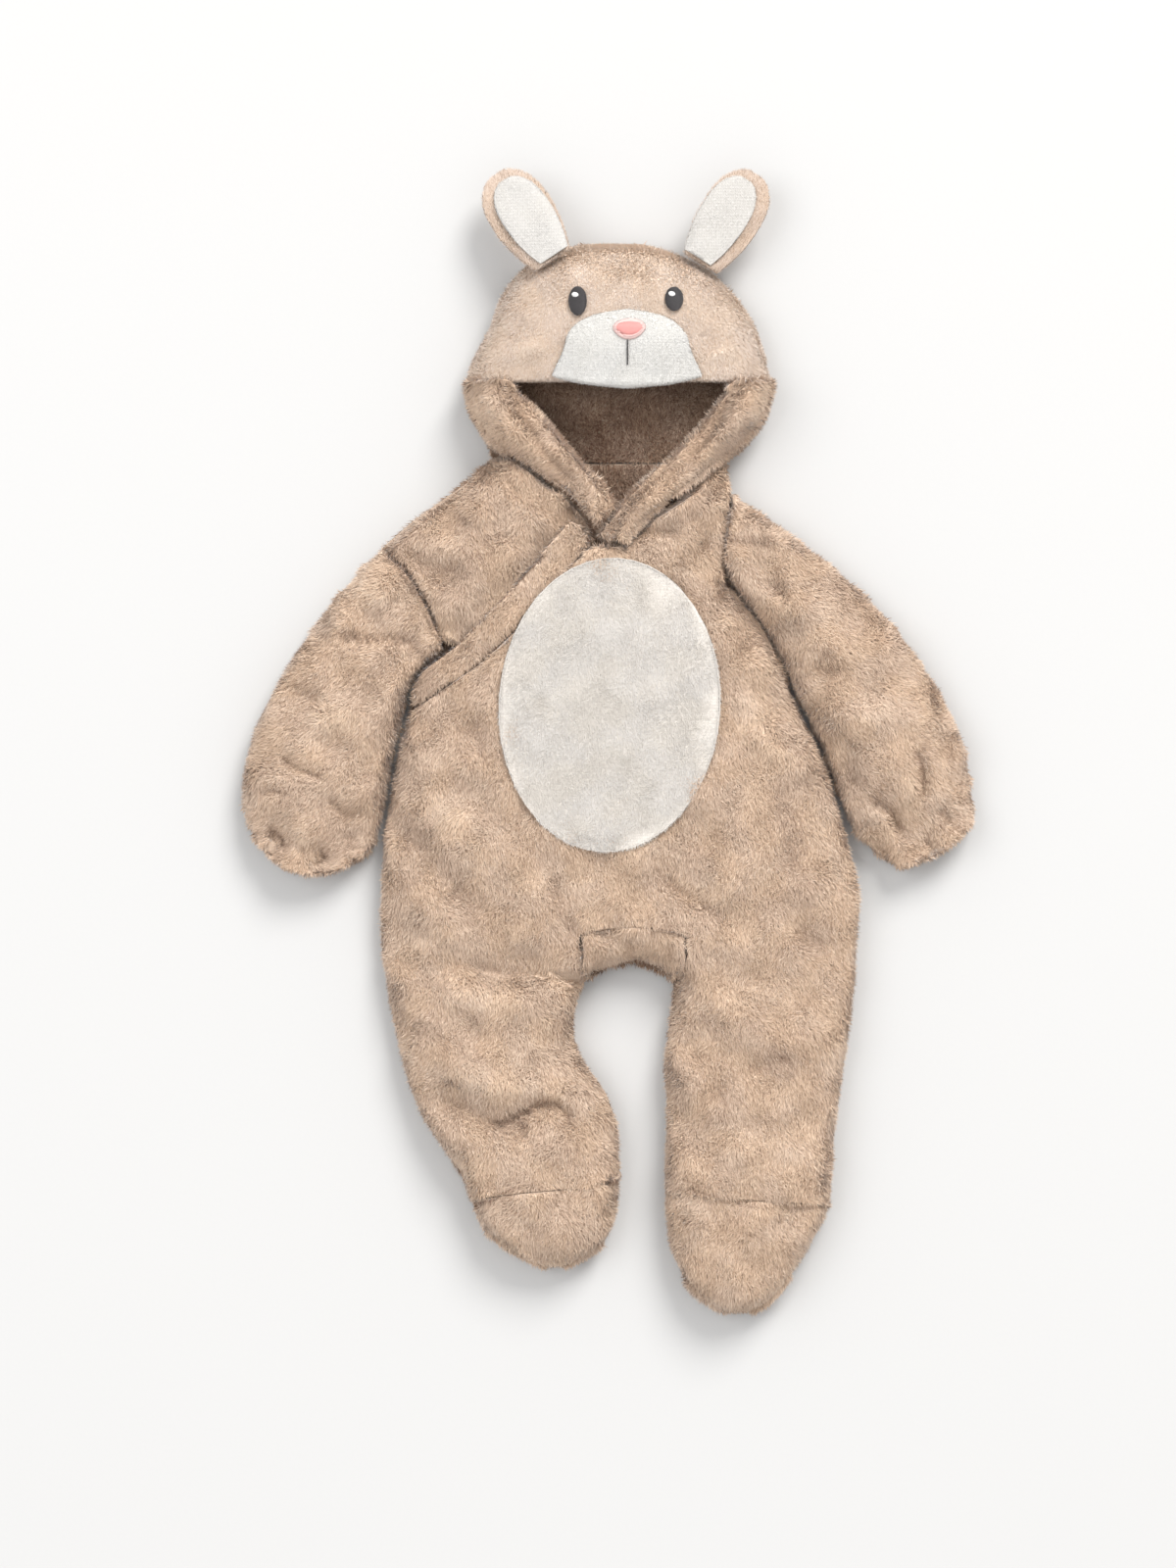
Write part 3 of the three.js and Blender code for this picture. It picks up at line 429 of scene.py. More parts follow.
# Straight up first, then straight down, then rings of looks that rise steeply, rise a little and go down.
RING = 6
LOOKS = [-DOWN, DOWN] + [
    Vector((math.cos(turn), math.sin(turn), rise)).normalized()
    for rise in (1.2, 0.25, -0.8)
    for turn in (math.pi * (k + 0.5) / 3 for k in range(RING))
]
STEEP_LOOKS = LOOKS[: 2 + RING]  # a cloth's wrong side is seen only by these, through an opening
LEAST_FACING = 0.05  # how far a triangle must face a look for its pile to be seen
HIDDEN, ASIDE, FROM_ABOVE = 0, 1, 2  # how a triangle is seen


def looked_at(node, shape, sides):
    """Whether each triangle is HIDDEN, seen from ASIDE, or seen FROM_ABOVE."""
    own = tree_of(node)
    seen = np.full(len(shape.triangles), HIDDEN, np.int8)
    for i, side in enumerate(sides):
        normal = Vector(shape.normals[i])
        start = own.find_nearest(Vector(shape.middles[i]))[0] + normal * ((1.5 if side == RIM else 0.6) * MM)
        for k, look in enumerate(STEEP_LOOKS if side == WRONG else LOOKS):
            if look.dot(normal) > LEAST_FACING and SUIT_TREE.ray_cast(start, look)[0] is None:
                seen[i] = FROM_ABOVE if k == 0 else ASIDE
                break
    # What is seen widens in rounds over its own side, so that pile stands up to each seam.
    for side in (RIGHT, RIM, WRONG):
        mine = sides == side
        for level in (*[ASIDE] * 5, FROM_ABOVE):
            reached = shape.corners_of(mine & (seen >= level))
            meets = mine & reached[shape.triangles].any(1)
            seen[meets] = np.maximum(seen[meets], level)
    return seen


# ---- the pile ----


@dataclass
class Pile:
    """How one cloth's pile grows."""

    tones: list  # its materials from dark to light, the warm ones first
    length: float
    width: float
    density: float  # locks to a square millimetre
    sink: float  # how deep in the solid the backing lies
    wander: float = 0.16  # how far the nap drifts
    tone: float = 0.76  # the middle tone, as a share of the tones
    grain: float = 1.0  # how much one lock differs from the next

    @property
    def soft(self):
        """How high the backing undulates: deep pile is loose on it, and shorn pile lies smooth."""
        return self.sink * (0.6 if self.sink > 2 * MM else 0.25)


MOST_TRIANGLES = 180_000  # to a piece
FEWEST_LOCKS = 10  # a cloth with fewer is left bare
CLUMP = 3.5 * MM  # the width of a clump of locks
CLUMP_KEYS = np.array([73856093, 19349663, 83492791])  # large primes, which number the clumps' cells
CLUMP_LEAN, CLUMP_DYE = 0.05, 0.025  # how far a clump leans and is dyed apart from the next
STRAY, GRAIN_STRAY = 0.09, 0.13  # how far a lock strays on its own, and what grain adds
TWIST = 0.35  # how far a lock is turned about itself
SLANT = 2.5  # how far a lock leans the way that it lies
BRINK_LOSS, TROUGH_LOSS, DEEPEST = 0.1, 0.06, 5  # what a seam, or each mm of a trough, takes off a lock
OWN_SLOPE = 0.5  # how much of a lock's shading is its own, not the cloth's
SPECKLE = 0.15  # how far a lock's tone is from its neighbours'
COOL_PATCH, COOL_MIX = 38 * MM, 0.8  # how wide the cool patches are, and how ragged


def sow(shape, weights, rng):
    """Spreads roots over the triangles by weight. Gives their triangles, and a way to read values there."""
    total = int(weights.sum())
    steps = (np.arange(total) + rng.uniform(0, 1, total)) * (weights.sum() / total)
    home = np.minimum(np.searchsorted(np.cumsum(weights), steps), len(weights) - 1)
    u, v = rng.uniform(0, 1, (2, total, 1))
    over = u + v > 1
    u, v = np.where(over, 1 - u, u), np.where(over, 1 - v, v)

    def between(values):
        a, b, c = (values[shape.triangles[home, i]] for i in range(3))
        return a + (b - a) * u + (c - a) * v

    return home, between


def grow(node, shape, thickness, brink, painted_shade, pile, nap, seed):
    """Sows locks of fibre over a cloth and returns their pieces.

    thickness is each triangle's share of the pile's full density, brink is 1 at the points along a seam or an
    edge, where the pile is short, tint darkens each triangle's pile with painted shade, on its wrong side
    inside the hood and the cuffs, and nap is the way it lies.
    """
    rng = np.random.default_rng(seed)
    weights = shape.areas * thickness * (pile.density / MM**2)
    if weights.sum() < FEWEST_LOCKS:
        return []
    home, between = sow(shape, weights, rng)
    total = len(home)
    roots = between(shape.points)
    normal = unit(between(shape.point_normals(thickness > 0)))

    # Locks near each other share a clump, which leans and is dyed as one.
    warped = roots + drift_vectors(seed + 3, 9 * MM, roots) * (0.35 * CLUMP)
    cells = np.floor(warped / CLUMP).astype(np.int64)
    _, clump = np.unique(cells @ CLUMP_KEYS, return_inverse=True)
    lean = rng.normal(size=(clump.max() + 1, 3))[clump]
    dye = rng.normal(size=clump.max() + 1)[clump]

    laid = nap - normal * (normal @ nap)[:, None]
    laid *= np.linalg.norm(nap) / np.maximum(np.linalg.norm(laid, axis=1), 0.2)[:, None]
    lie = laid + drift_vectors(seed + 7, 30 * MM, roots) * pile.wander + lean * CLUMP_LEAN * pile.grain
    lie += rng.normal(size=roots.shape) * (STRAY + GRAIN_STRAY * pile.grain)
    lie -= normal * (lie * normal).sum(1, keepdims=True)
    side = unit(np.cross(normal, unit(lie)) + rng.normal(size=roots.shape) * TWIST)
    length = pile.length * np.clip(rng.normal(1.0, 0.14, (total, 1)), 0.6, 1.35)
    length *= 1 - BRINK_LOSS * between(brink[:, None])
    # The pile parts in a trough, where it is shorter and is darkened with painted shade; on a ridge it is
    # lightened with painted light, and along a seam line it is darkened as a dark joint.
    seams = SEAM_LINES if node in UPPER + TUBES else ()
    trough = crease_depth(roots, [*CREASES.get(node, ()), *seams]) / MM * soft_step(normal[:, 2], -0.1, 0.3)
    length *= 1 - np.clip(trough, 0, DEEPEST)[:, None] * TROUGH_LOSS
    width = pile.width * rng.uniform(0.75, 1.25, (total, 1)) / 2

    # A lock is one blade, wide at its root, that leans over the way that it lies.
    heading = unit(normal + lie * SLANT)
    points = np.stack([roots - side * width, roots + side * width, roots + heading * length], 1)
    points[..., 2] = np.maximum(points[..., 2], CLEARANCE)  # the floor presses the pile under the suit flat
    outward = np.cross(side, heading)
    flip = (outward * normal).sum(1) < 0

    patch = Drift(seed + 11, 45 * MM)(roots) * 0.03 + Drift(seed + 12, 14 * MM)(roots) * 0.015
    # Painted shade darkens the tone inside the hood and the cuffs and in folds, painted light lightens it on
    # ridges, and seam lines get a dark joint.
    tone = pile.tone + painted_shade[home] - trough * FOLD_SHADE_AND_SEAM_DARK
    tone += (patch + dye * CLUMP_DYE + rng.normal(size=total) * SPECKLE) * pile.grain
    last = len(pile.tones) // 2 - 1
    slots = np.clip(np.rint(tone * last), 0, last).astype(np.int32)
    # Where the pile is brushed up it looks cooler, in patches as wide as a hand's stroke.
    slots += (last + 1) * (Drift(seed + 13, COOL_PATCH)(roots) + rng.normal(size=total) * COOL_MIX > 0)

    shading = unit(normal + unit(outward) * np.where(flip, -OWN_SLOPE, OWN_SLOPE)[:, None])
    order = np.argsort(roots[:, 1], kind="stable")
    pieces = []
    parts = math.ceil(total / MOST_TRIANGLES)
    for part, chosen in enumerate(np.array_split(order, parts)):
        label = f"{node}_pile" if parts == 1 else f"{node}_pile_{part + 1}"
        pieces.append(locks(label, points[chosen], flip[chosen], slots[chosen], shading[chosen], pile.tones))
    return pieces


def locks(name, points, flip, slots, shading, tones):
    """One mesh of separate locks, each a triangle with its front turned outward."""
    count = len(points)
    index = np.arange(count * 3).reshape(count, 3)
    index[flip] = index[flip][:, ::-1]
    mesh = bpy.data.meshes.new(name)
    mesh.vertices.add(count * 3)
    mesh.vertices.foreach_set("co", points.astype(np.float32).ravel())
    mesh.loops.add(index.size)
    mesh.loops.foreach_set("vertex_index", index.astype(np.int32).ravel())
    mesh.polygons.add(count)
    mesh.polygons.foreach_set("loop_start", np.arange(0, index.size, 3, dtype=np.int32))
    mesh.update(calc_edges=True)
    piece = new_piece(name, mesh, tones)
    mesh.polygons.foreach_set("material_index", slots)
    mesh.polygons.foreach_set("use_smooth", np.ones(count, bool))
    mesh.normals_split_custom_set_from_vertices(np.repeat(shading, 3, axis=0).astype(np.float32))
    return piece


# ---- folds and cloth ----


def along(points, route):
    """Each point's distance from a route seen from above, and how far along it lies, from 0 to 1."""
    route = np.array(route, float) * MM
    spans = np.linalg.norm(np.diff(route, axis=0), axis=1)
    run = np.concatenate([[0.0], np.cumsum(spans)]) / spans.sum()
    nearest = np.full(len(points), np.inf)
    share = np.zeros(len(points))
    for start, end, s0, s1 in zip(route[:-1], route[1:], run[:-1], run[1:]):
        step = end - start
        t = np.clip(((points[:, :2] - start) @ step) / (step @ step), 0, 1)
        away = np.linalg.norm(points[:, :2] - start - t[:, None] * step, axis=1)
        closer = away < nearest
        nearest[closer] = away[closer]
        share[closer] = (s0 + (s1 - s0) * t)[closer]
    return nearest, share


def crease_depth(points, creases):
    """How far the creases sink each point. A crease is (half width, depth, *route), all in millimetres."""
    total = np.zeros(len(points))
    for wide, deep, *route in creases:
        away, share = along(points, route)
        fade = soft_step(share, 0.0, 0.22) * (1 - soft_step(share, 0.78, 1.0)) * 0.85 + 0.15
        total += deep * MM * fade * np.exp(-((away / (wide * MM)) ** 2))
    return total


# Folds of the laid-out suit, seen from above: (half width, depth, *route). A negative depth is a ridge.
# A fold's depth also darkens its pile with painted shade, and a ridge's lightens it with painted light.
FRONT_CREASES = [
    (6, 3.2, (34, -86), (46, -100), (64, -112), (86, -126)),
    (6, 3, (127, -128), (150, -144)),
    (5, -2.2, (76, -181), (92, -177), (106, -170)),
    (6, 3.4, (-42, -86), (-33, -110), (-21, -139)),
    (7, -2.4, (-20, -92), (-14, -116)),
    (5, 1.8, (-124, -158), (-104, -153), (-64, -161), (-50, -167)),
    (9, -2.7, (-118, -172), (-84, -176), (-48, -180)),
    (5, 7.5, (-90, -262), (-72, -264), (-58, -257), (-47, -250), (-36, -250), (-26, -256)),
    (5, 5, (-61, -277), (-58, -262)),
    (4, 4.5, (-27, -254), (-29, -266)),
    (8, 3.3, (-120, -250), (-92, -254)),
    (9, -3.3, (-118, -228), (-80, -238), (-40, -236)),
    (11, 2.7, (-140, -196), (-104, -206), (-76, -202)),
    (9, 3.3, (-112, -100), (-84, -118)),
    (9, -3.3, (-134, -30), (-104, -52), (-88, -50)),
    (10, 3, (-148, -60), (-120, -72)),
    (10, 3.3, (112, -20), (128, -62), (126, -98)),
    (8, 3.3, (96, -228), (128, -214)),
    (9, 2.7, (60, -246), (84, -240)),
    (8, -2.7, (70, -286), (108, -278), (140, -284)),
    (9, -3.6, (88, 40), (104, 12), (118, -14)),
    (8, 3.3, (86, 84), (98, 60)),
    (7, 2.7, (15, 100), (48, 108), (72, 92)),
    (4, 3, (20, 146), (34, 147), (50, 146)),
    (6, 2.6, (56, 163), (66, 146), (70, 128)),
    (8, 3, (-100, 16), (-86, -6)),
    (6, 1.8, (54, -200), (66, -226)),
]
UNDER_CREASES = [
    (8, 3.6, (-150, 136), (-118, 118), (-96, 122)),
    (6, 2.2, (-76, 150), (-58, 132)),
    (7, -3, (-128, 92), (-106, 84)),
    (6, 2.4, (-50, 168), (-30, 150)),
    (8, 2.7, (-112, 144), (-96, 160)),
    (4, 3, (-72, 186), (-60, 168)),
    (5, -3, (-116, 74), (-108, 66)),
]
SLEEVE_CREASES_LEFT = [
    (5, 5, (-194, 77), (-163, 71), (-148, 73), (-136, 71), (-131, 62), (-128, 55)),
    (8, 3.6, (-222, 40), (-196, 28)),
    (4, 4.6, (-226, -4), (-219, -16), (-211, -19), (-192, -23)),
    (3.5, 3.4, (-245, -36), (-236, -33), (-225, -33), (-221, -37)),
    (5, 3.8, (-195, -35), (-189, -42), (-182, -50), (-173, -48), (-165, -43)),
    (4, 5.5, (-238, -60), (-230, -63), (-226, -67), (-225, -76)),
    (3.5, 4.5, (-205, -84), (-198, -80), (-191, -79)),
    (4, 3, (-200, -70), (-196, -80)),
    (5, 2.6, (-178, -60), (-176, -76)),
    (5, -2.6, (-214, -56), (-210, -72)),
    (9, -3.6, (-206, 12), (-176, 20)),
    (6, 2.2, (-170, -8), (-164, -30)),
    (9, -3, (-176, 110), (-150, 96)),
]
SLEEVE_CREASES_RIGHT = [
    (4, 3.6, (72, 143), (96, 140), (119, 139)),
    (5, 3.4, (108, 112), (117, 106), (126, 99)),
    (4, 2.4, (120, 116), (115, 98)),
    (4, 6, (210, -1), (216, -12), (218, -25), (219, -42)),
    (4, 6, (178, -38), (188, -42), (196, -46), (200, -56), (207, -66)),
    (10, 3.6, (150, 118), (176, 96), (190, 70)),
    (9, 3.3, (140, 60), (160, 44)),
    (8, -3.3, (170, 20), (196, 24)),
    (6, -2.6, (206, -20), (208, -40)),
    (7, 2.7, (236, 10), (240, -14)),
    (3.5, 3.6, (228, -44), (234, -50), (238, -57)),
    (3, 3, (241, -27), (248, -30)),
    (3.5, 3.6, (220, -64), (224, -74)),
    (4, 2.6, (209, -72), (214, -82)),
    (4, 3.6, (186, -70), (191, -75), (197, -78)),
    (4, -2.2, (238, -44), (250, -46)),
    (7, 3.3, (160, -10), (174, -34)),
]
HOOD_CREASES = [
    (6, 1, (-10, 330), (12, 331), (28, 330)),
    (7, 2.1, (-62, 300), (-44, 318)),
    (7, 2.1, (66, 286), (76, 268)),
    (6, -1.8, (-72, 266), (-52, 274), (-42, 268)),
    (6, -1.8, (70, 268), (92, 272)),
]
BRIM_CREASES = [
    (5, 3.2, (-71, 256), (-60, 226), (-40, 198), (-14, 173)),
    (5, 3.2, (89, 256), (78, 226), (56, 196), (28, 169)),
    (4.5, 3, (-84, 216), (-62, 198), (-40, 180), (-22, 166)),
    (4, 2.2, (-30, 176), (-16, 160)),
    (5, 2.4, (100, 222), (84, 206), (66, 190)),
    (4, 2.4, (52, 174), (36, 160), (22, 152)),
    (6, -1.6, (-90, 240), (-74, 226)),
    (4, 3, (1, 134), (5, 148), (12, 152)),
]
# The same on the side that lies on the floor, all shallow, since its own weight presses it flat.
BACK_CREASES = [
    (9, 1.6, (-92, 120), (-30, 104), (48, 118)),
    (10, 1.5, (-120, 10), (-64, -8), (-20, 4)),
    (8, 1.8, (40, -30), (92, -52), (150, -40)),
    (7, 1.8, (-110, -150), (-70, -162), (-40, -150)),
    (8, 1.6, (70, -190), (112, -202), (150, -190)),
    (6, 1.6, (-96, -250), (-60, -262)),
    (6, 1.5, (84, -280), (120, -288)),
    (6, 1.2, (4, 60), (10, 10), (2, -40)),
]
# The seams draw the pile in along thin lines, which belong to the pieces on both sides.
SEAM_LINES = [
    (1.5, 4.5, (-158, 136), (-140, 118), (-127, 96), (-116, 69)),
    (1.5, 4.5, (85, 172), (82.6, 145), (78.5, 117)),
    (1.5, 4, (-139, 21), (-122, 33), (-105, 44), (-93, 53), (-76, 67), (-48, 99), (-29, 119)),
    (1.4, 2.5, (-19, -136), (10, -126.5), (36, -128), (54, -131)),
    (1.5, 3.5, (-94, -320), (-70, -310), (-40, -300)),
    (1.5, 3.5, (39, -308), (62, -309), (94, -319), (152, -323)),
    (1.3, 4, (151, -262), (149.5, -290), (147, -322)),
]
CREASES = {
    "front_panel": FRONT_CREASES,
    "under_front": UNDER_CREASES,
    "sleeve_left": SLEEVE_CREASES_LEFT,
    "sleeve_right": SLEEVE_CREASES_RIGHT,
    "hood_front": HOOD_CREASES,
    "brim_left": BRIM_CREASES,
    "brim_right": BRIM_CREASES,
    "back_panel": BACK_CREASES,
    "gusset": [
        (4, 2, (-12, -140), (-4, -158)),
        (4, 2.4, (14, -134), (16, -152)),
        (4, 2.2, (40, -136), (44, -156)),
    ],
}
# Where elastic or a seam draws an edge in, from all sides.
PINCHES = {
    "sleeve_left": [
        (9, 5.5, (-242, -64), (-238, -72), (-230, -80)),
        (8, 4, (-182, -86), (-172, -88)),
        (6, -1.5, (-252, -46), (-249, -54)),
        (7, -2, (-212, -88), (-205, -94)),
        (8, 1.5, (-262, 10), (-260, 0)),
    ],
    "sleeve_right": [
        (6, 4.5, (187, -84), (192, -86)),
        (7, 4, (224, -82), (232, -76)),
        (6, -2, (203, -94), (210, -94)),
        (6, -1.5, (254, -58), (258, -48)),
        (5, 2.5, (256, -30), (258, -22)),
    ],
    "gusset": [
        (3, 3.5, (20, -150), (22, -158)),
        (4, 2.5, (-10, -158), (-6, -166)),
        (4, -1.5, (38, -156), (44, -166)),
        (4, -1.5, (4, -154), (8, -160)),
    ],
    "foot_upper_left": [(5, 2, (-98, -318), (-94, -326))],
    "front_panel": [(12, 1.5, (-153, -216), (-150, -226)), (8, 2, (-108, -296), (-102, -308))],
}
INSIDE_PAINTED_SHADE = -0.56  # painted shade on the plush inside the hood and the cuffs
FOLD_SHADE_AND_SEAM_DARK = 0.055  # painted shade in a fold and painted light on a ridge, for each millimetre of depth; on a seam line, a dark joint
UPPER_RIM, LOWER_RIM = 0.12, 0.08  # an edge's normals rise and fall less than this
THICKEST = 13 * MM  # what is deeper than this from its other side is a tube's rim
ACROSS = 150 * MM  # how far a tube's wrong side may be from the wall that it faces


def sides_of(node, shape):
    """Which side of a cut piece each triangle of its solid is on: RIGHT, RIM or WRONG."""
    slope = shape.normals[:, 2]
    if node in UPPER:
        return np.where(slope > UPPER_RIM, RIGHT, np.where(slope > -UPPER_RIM, RIM, WRONG))
    if node in LOWER:
        return np.where(slope < -LOWER_RIM, RIGHT, np.where(slope < LOWER_RIM, RIM, WRONG))
    sides = np.full(len(slope), RIGHT)
    if node in TUBES:
        tree = tree_of(node)
        for i, (middle, normal) in enumerate(zip(shape.middles, shape.normals)):
            middle, normal = Vector(middle), Vector(normal)
            through = tree.ray_cast(middle - normal * CLEARANCE, -normal)[3]
            if through is None or through > THICKEST:
                sides[i] = RIM
            elif tree.ray_cast(middle + normal * CLEARANCE, normal, ACROSS)[0] is not None:
                sides[i] = WRONG
    return sides


def facing_floor(normals):
    """1 where a surface lies on the floor, and 0 where it is steep or faces up."""
    return soft_step(-normals[:, 2], 0.5, 0.9)


def drape(node, levels, pile, material, seed):
    """One cut piece's cloth, a thin shell on its solid's form with its creases, and what grow asks of it."""
    piece, sides = copy_of(node, f"{node}_cloth", levels, material, sides_of)
    shape = Shape(piece.data)
    seen = looked_at(node, shape, sides)

    right = sides == RIGHT
    on_right = shape.corners_of(right)
    on_edge = shape.corners_of(~right) & on_right
    on_inner = shape.corners_of((sides == WRONG) & (seen > HIDDEN)) & ~on_right

    outward = np.where(on_right[:, None], shape.point_normals(right), shape.point_normals(~right))
    below = facing_floor(outward)
    sink = pile.sink * np.where(on_right, 1 - 0.5 * below, np.where(on_inner, 0.4, 0.0))
    folds = crease_depth(shape.points, CREASES.get(node, ()))
    broad, fine = Drift(seed, 45 * MM)(shape.points), Drift(seed + 1, 15 * MM)(shape.points)
    folds += broad * pile.soft + fine * pile.soft * 0.15
    sink += crease_depth(shape.points, PINCHES.get(node, ())) * on_right
    if node in LOWER:
        sink += folds * below * on_right
    else:
        # A fold presses the cloth down with both of its sides.
        shape.points[:, 2] -= folds * soft_step(outward[:, 2] * np.where(on_right, 1, -1), 0.0, 0.5)
    shape.points -= outward * sink[:, None]
    shape.points[:, 2] = np.maximum(shape.points[:, 2], CLEARANCE)  # no fold goes below the floor
    piece.data.vertices.foreach_set("co", shape.points.astype(np.float32).ravel())
    piece.data.update()
    shape.measure()

    # The pile is at its thickest where it is seen most, and thin where it is pressed on the floor.
    share = np.array([0.0, 0.6, 1.0])[seen] * (1 - 0.8 * facing_floor(shape.normals))
    # Last, the painted shade on the cloth's wrong side, seen inside the hood and the cuffs.
    return piece, shape, share, on_edge.astype(float), np.where(sides == WRONG, INSIDE_PAINTED_SHADE, 0.0)


class Finishes:
    """The suit's finishes and threads, made once from the settings and shared by the pieces.

    A finish is a record's slot, a pile and the material of the ground that it stands on.
    """

    def __init__(self, settings):
        dark, light = tuple(settings.plush_dark), tuple(settings.plush_light)
        face, brightest = tuple(settings.face_tip_and_painted_light), (1, 1, 1)
        cream, white = tuple(settings.cream), tuple(settings.white)
        ground = knitted_ground("plush_ground", blend(dark, light, 0.4), blend(dark, light, 0.6))
        # The face's ground, tones and middle tone are lighter than the body's, partly as shorn pile shows
        # paler tips and partly with painted light on the top of the hood.
        shorn_ground = knitted_ground("shorn_ground", blend(dark, light, 0.8), light)
        cream_ground = knitted_ground("cream_ground", blend(cream, dark, 0.12), cream)
        white_ground = knitted_ground("white_ground", blend(white, dark, 0.05), white)
        # The ears' lining ground and tones are the white velour darkened with painted shade, shaded copies of
        # it.
        lining_ground = knitted_ground("lining_ground", blend(white, dark, 0.18), blend(white, dark, 0.12))
        plush = fibre_tones("plush_tone", dark, light, 9, 0.5, 0.09)
        shorn = fibre_tones("shorn_tone", blend(dark, light, 0.5), face, 5, 0.5, 0.04)
        cream_ends = blend(cream, dark, 0.12), blend(cream, brightest, 0.2)
        white_ends = blend(white, dark, 0.06), blend(white, brightest, 0.2)
        shaded_lining_ends = blend(white, dark, 0.2), blend(white, dark, 0.03)
        creams = fibre_tones("cream_tone", *cream_ends, 3, 0.2, warmth=0.015)
        whites = fibre_tones("white_tone", *white_ends, 3, 0.2, warmth=0.01)
        shaded_linings = fibre_tones("lining_tone", *shaded_lining_ends, 3, 0.1, warmth=0.01)
        long, wide, dense = settings.plush_length, settings.plush_width, settings.plush_density
        soft = settings.velour_length
        smooth = {"wander": 0.1, "grain": 0.6}
        face_pile = Pile(shorn, long * 0.55, wide * 0.7, dense * 1.6, 1.5 * MM, 0.1, 0.8, 0.7)
        ear_pile = Pile(shorn, long * 0.5, wide * 0.7, dense * 1.4, 1.2 * MM, tone=0.6, **smooth)
        belly_pile = Pile(creams, soft, 0.5 * MM, 2.2, 1.2 * MM, tone=0.55, grain=0.6)
        muzzle_pile = Pile(whites, soft * 0.5, 0.45 * MM, 2.4, 0.6 * MM, tone=0.55, **smooth)
        shaded_lining_pile = Pile(shaded_linings, soft * 0.5, 0.45 * MM, 2.4, 0.6 * MM, tone=0.55, **smooth)
        self.plush = "plush", Pile(plush, long, wide, dense, 2.9 * MM), ground
        self.face_plush = "plush", face_pile, shorn_ground
        self.ear_plush = "plush", ear_pile, ground
        self.velour = "cream_velour", belly_pile, cream_ground
        self.face_velour = "white_velour", muzzle_pile, white_ground
        # The ears' lining is the muzzle's white velour with painted shade on it.
        self.lining_velour = "white_velour", shaded_lining_pile, lining_ground
        self.pink = embroidery_thread("pink_thread", (0.78, 0.34, 0.32))
        self.pale_pink = embroidery_thread("pale_pink_thread", (0.80, 0.57, 0.54))
        self.charcoal = embroidery_thread("charcoal_thread", (0.032, 0.028, 0.030))
        self.highlight = embroidery_thread("white_thread", (0.80, 0.80, 0.79))


@cache
def finishes():
    return Finishes(bpy.context.scene.pramsuit_pile)


def belong(piece):
    """Puts a piece on the suit's one body."""
    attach(piece, "root")


def sew(node, finish, nap, seed, levels=2):
    """One cut piece: its cloth, draped, and the pile on it, which lies the way of nap, an (X, Y)."""
    slot, pile, ground = finish
    piece, shape, share, brink, painted_shade = drape(node, levels, pile, ground, seed)
    grown = grow(node, shape, share, brink, painted_shade, pile, np.array([*nap, 0.0]), seed)
    for each in (piece, *grown):
        belong(each)
    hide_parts(node)


# ---- embroidery ----


def cords(name, routes, radius, material, sides=5):
    """Many short threads as one mesh of tubes. Each route is an array of points, and all have as many."""
    routes = np.array(routes, float)
    tangent = unit(np.gradient(routes, axis=1))
    across = unit(np.cross(tangent, UP))
    over = np.cross(across, tangent)
    turns = 2 * math.pi * np.arange(sides) / sides
    ring = across[:, :, None] * np.cos(turns)[:, None] + over[:, :, None] * np.sin(turns)[:, None]
    points = routes[:, :, None] + ring * radius
    count, stations = routes.shape[:2]
    mesh = bpy.data.meshes.new(name)
    index = np.arange(count * stations * sides).reshape(count, stations, sides)
    after = np.roll(index, -1, axis=2)
    walls = np.stack([index[:, :-1], after[:, :-1], after[:, 1:], index[:, 1:]], -1).reshape(-1, 4)
    ends = np.concatenate([index[:, 0, ::-1], index[:, -1]])
    mesh.from_pydata(points.reshape(-1, 3).tolist(), [], walls.tolist() + ends.tolist())
    mesh.polygons.foreach_set("use_smooth", np.ones(len(mesh.polygons), bool))
    mesh.validate()
    return new_piece(name, mesh, [material])


def surface_height(x, y):
    """Height of the suit's own surface, seen from above."""
    hit = SUIT_TREE.ray_cast(Vector((x, y, ABOVE)), DOWN)[0]
    return hit.z if hit else 0.0


SUNK = 0.6  # how deep a thread's ends go, as a share of its lift
WEAVE_STEP = 0.15 * MM  # how finely a form is searched for its edges
FEWEST_STEPS = 5  # a stitch is longer than this many steps


def laid_thread(start, end, lift, stations=7):
    """A thread from start to end over the surface, drawn down into the cloth at both ends."""
    points = []
    for share in np.linspace(0, 1, stations):
        x, y = start[0] + (end[0] - start[0]) * share, start[1] + (end[1] - start[1]) * share
        arch = math.sin(math.pi * share) ** 0.4 if 0 < share < 1 else 0.0
        points.append((x, y, surface_height(x, y) + lift * (arch * (1 + SUNK) - SUNK)))
    return points


def satin(name, inside, middle, reach, turn, material, pitch=0.6 * MM, radius=0.38 * MM, lift=0.5 * MM):
    """Satin stitch: threads side by side, each from edge to edge of a small form, at an angle to X."""
    heading = np.array([math.cos(turn), math.sin(turn)])
    beside = np.array([-heading[1], heading[0]])
    routes = []
    for offset in np.arange(-reach, reach, pitch):
        line = np.array(middle) + beside * offset
        places = (line + heading * step for step in np.arange(-reach, reach, WEAVE_STEP))
        found = [place for place in places if inside(*place)]
        if len(found) > FEWEST_STEPS:
            routes.append(laid_thread(found[0], found[-1], lift))
    return cords(name, routes, radius, material)


def within_node(node):
    """A test of whether a point, seen from above, lies on that node."""
    tree = tree_of(node)

    def inside(x, y):
        return tree.ray_cast(Vector((x, y, ABOVE)), DOWN)[0] is not None

    return inside


def middle_of(node):
    low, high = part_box(node)
    return (low + high) / 2


# ---- operators ----

DOWN_BODY = (0.05, -0.55)  # the way the body's plush is brushed, towards the feet


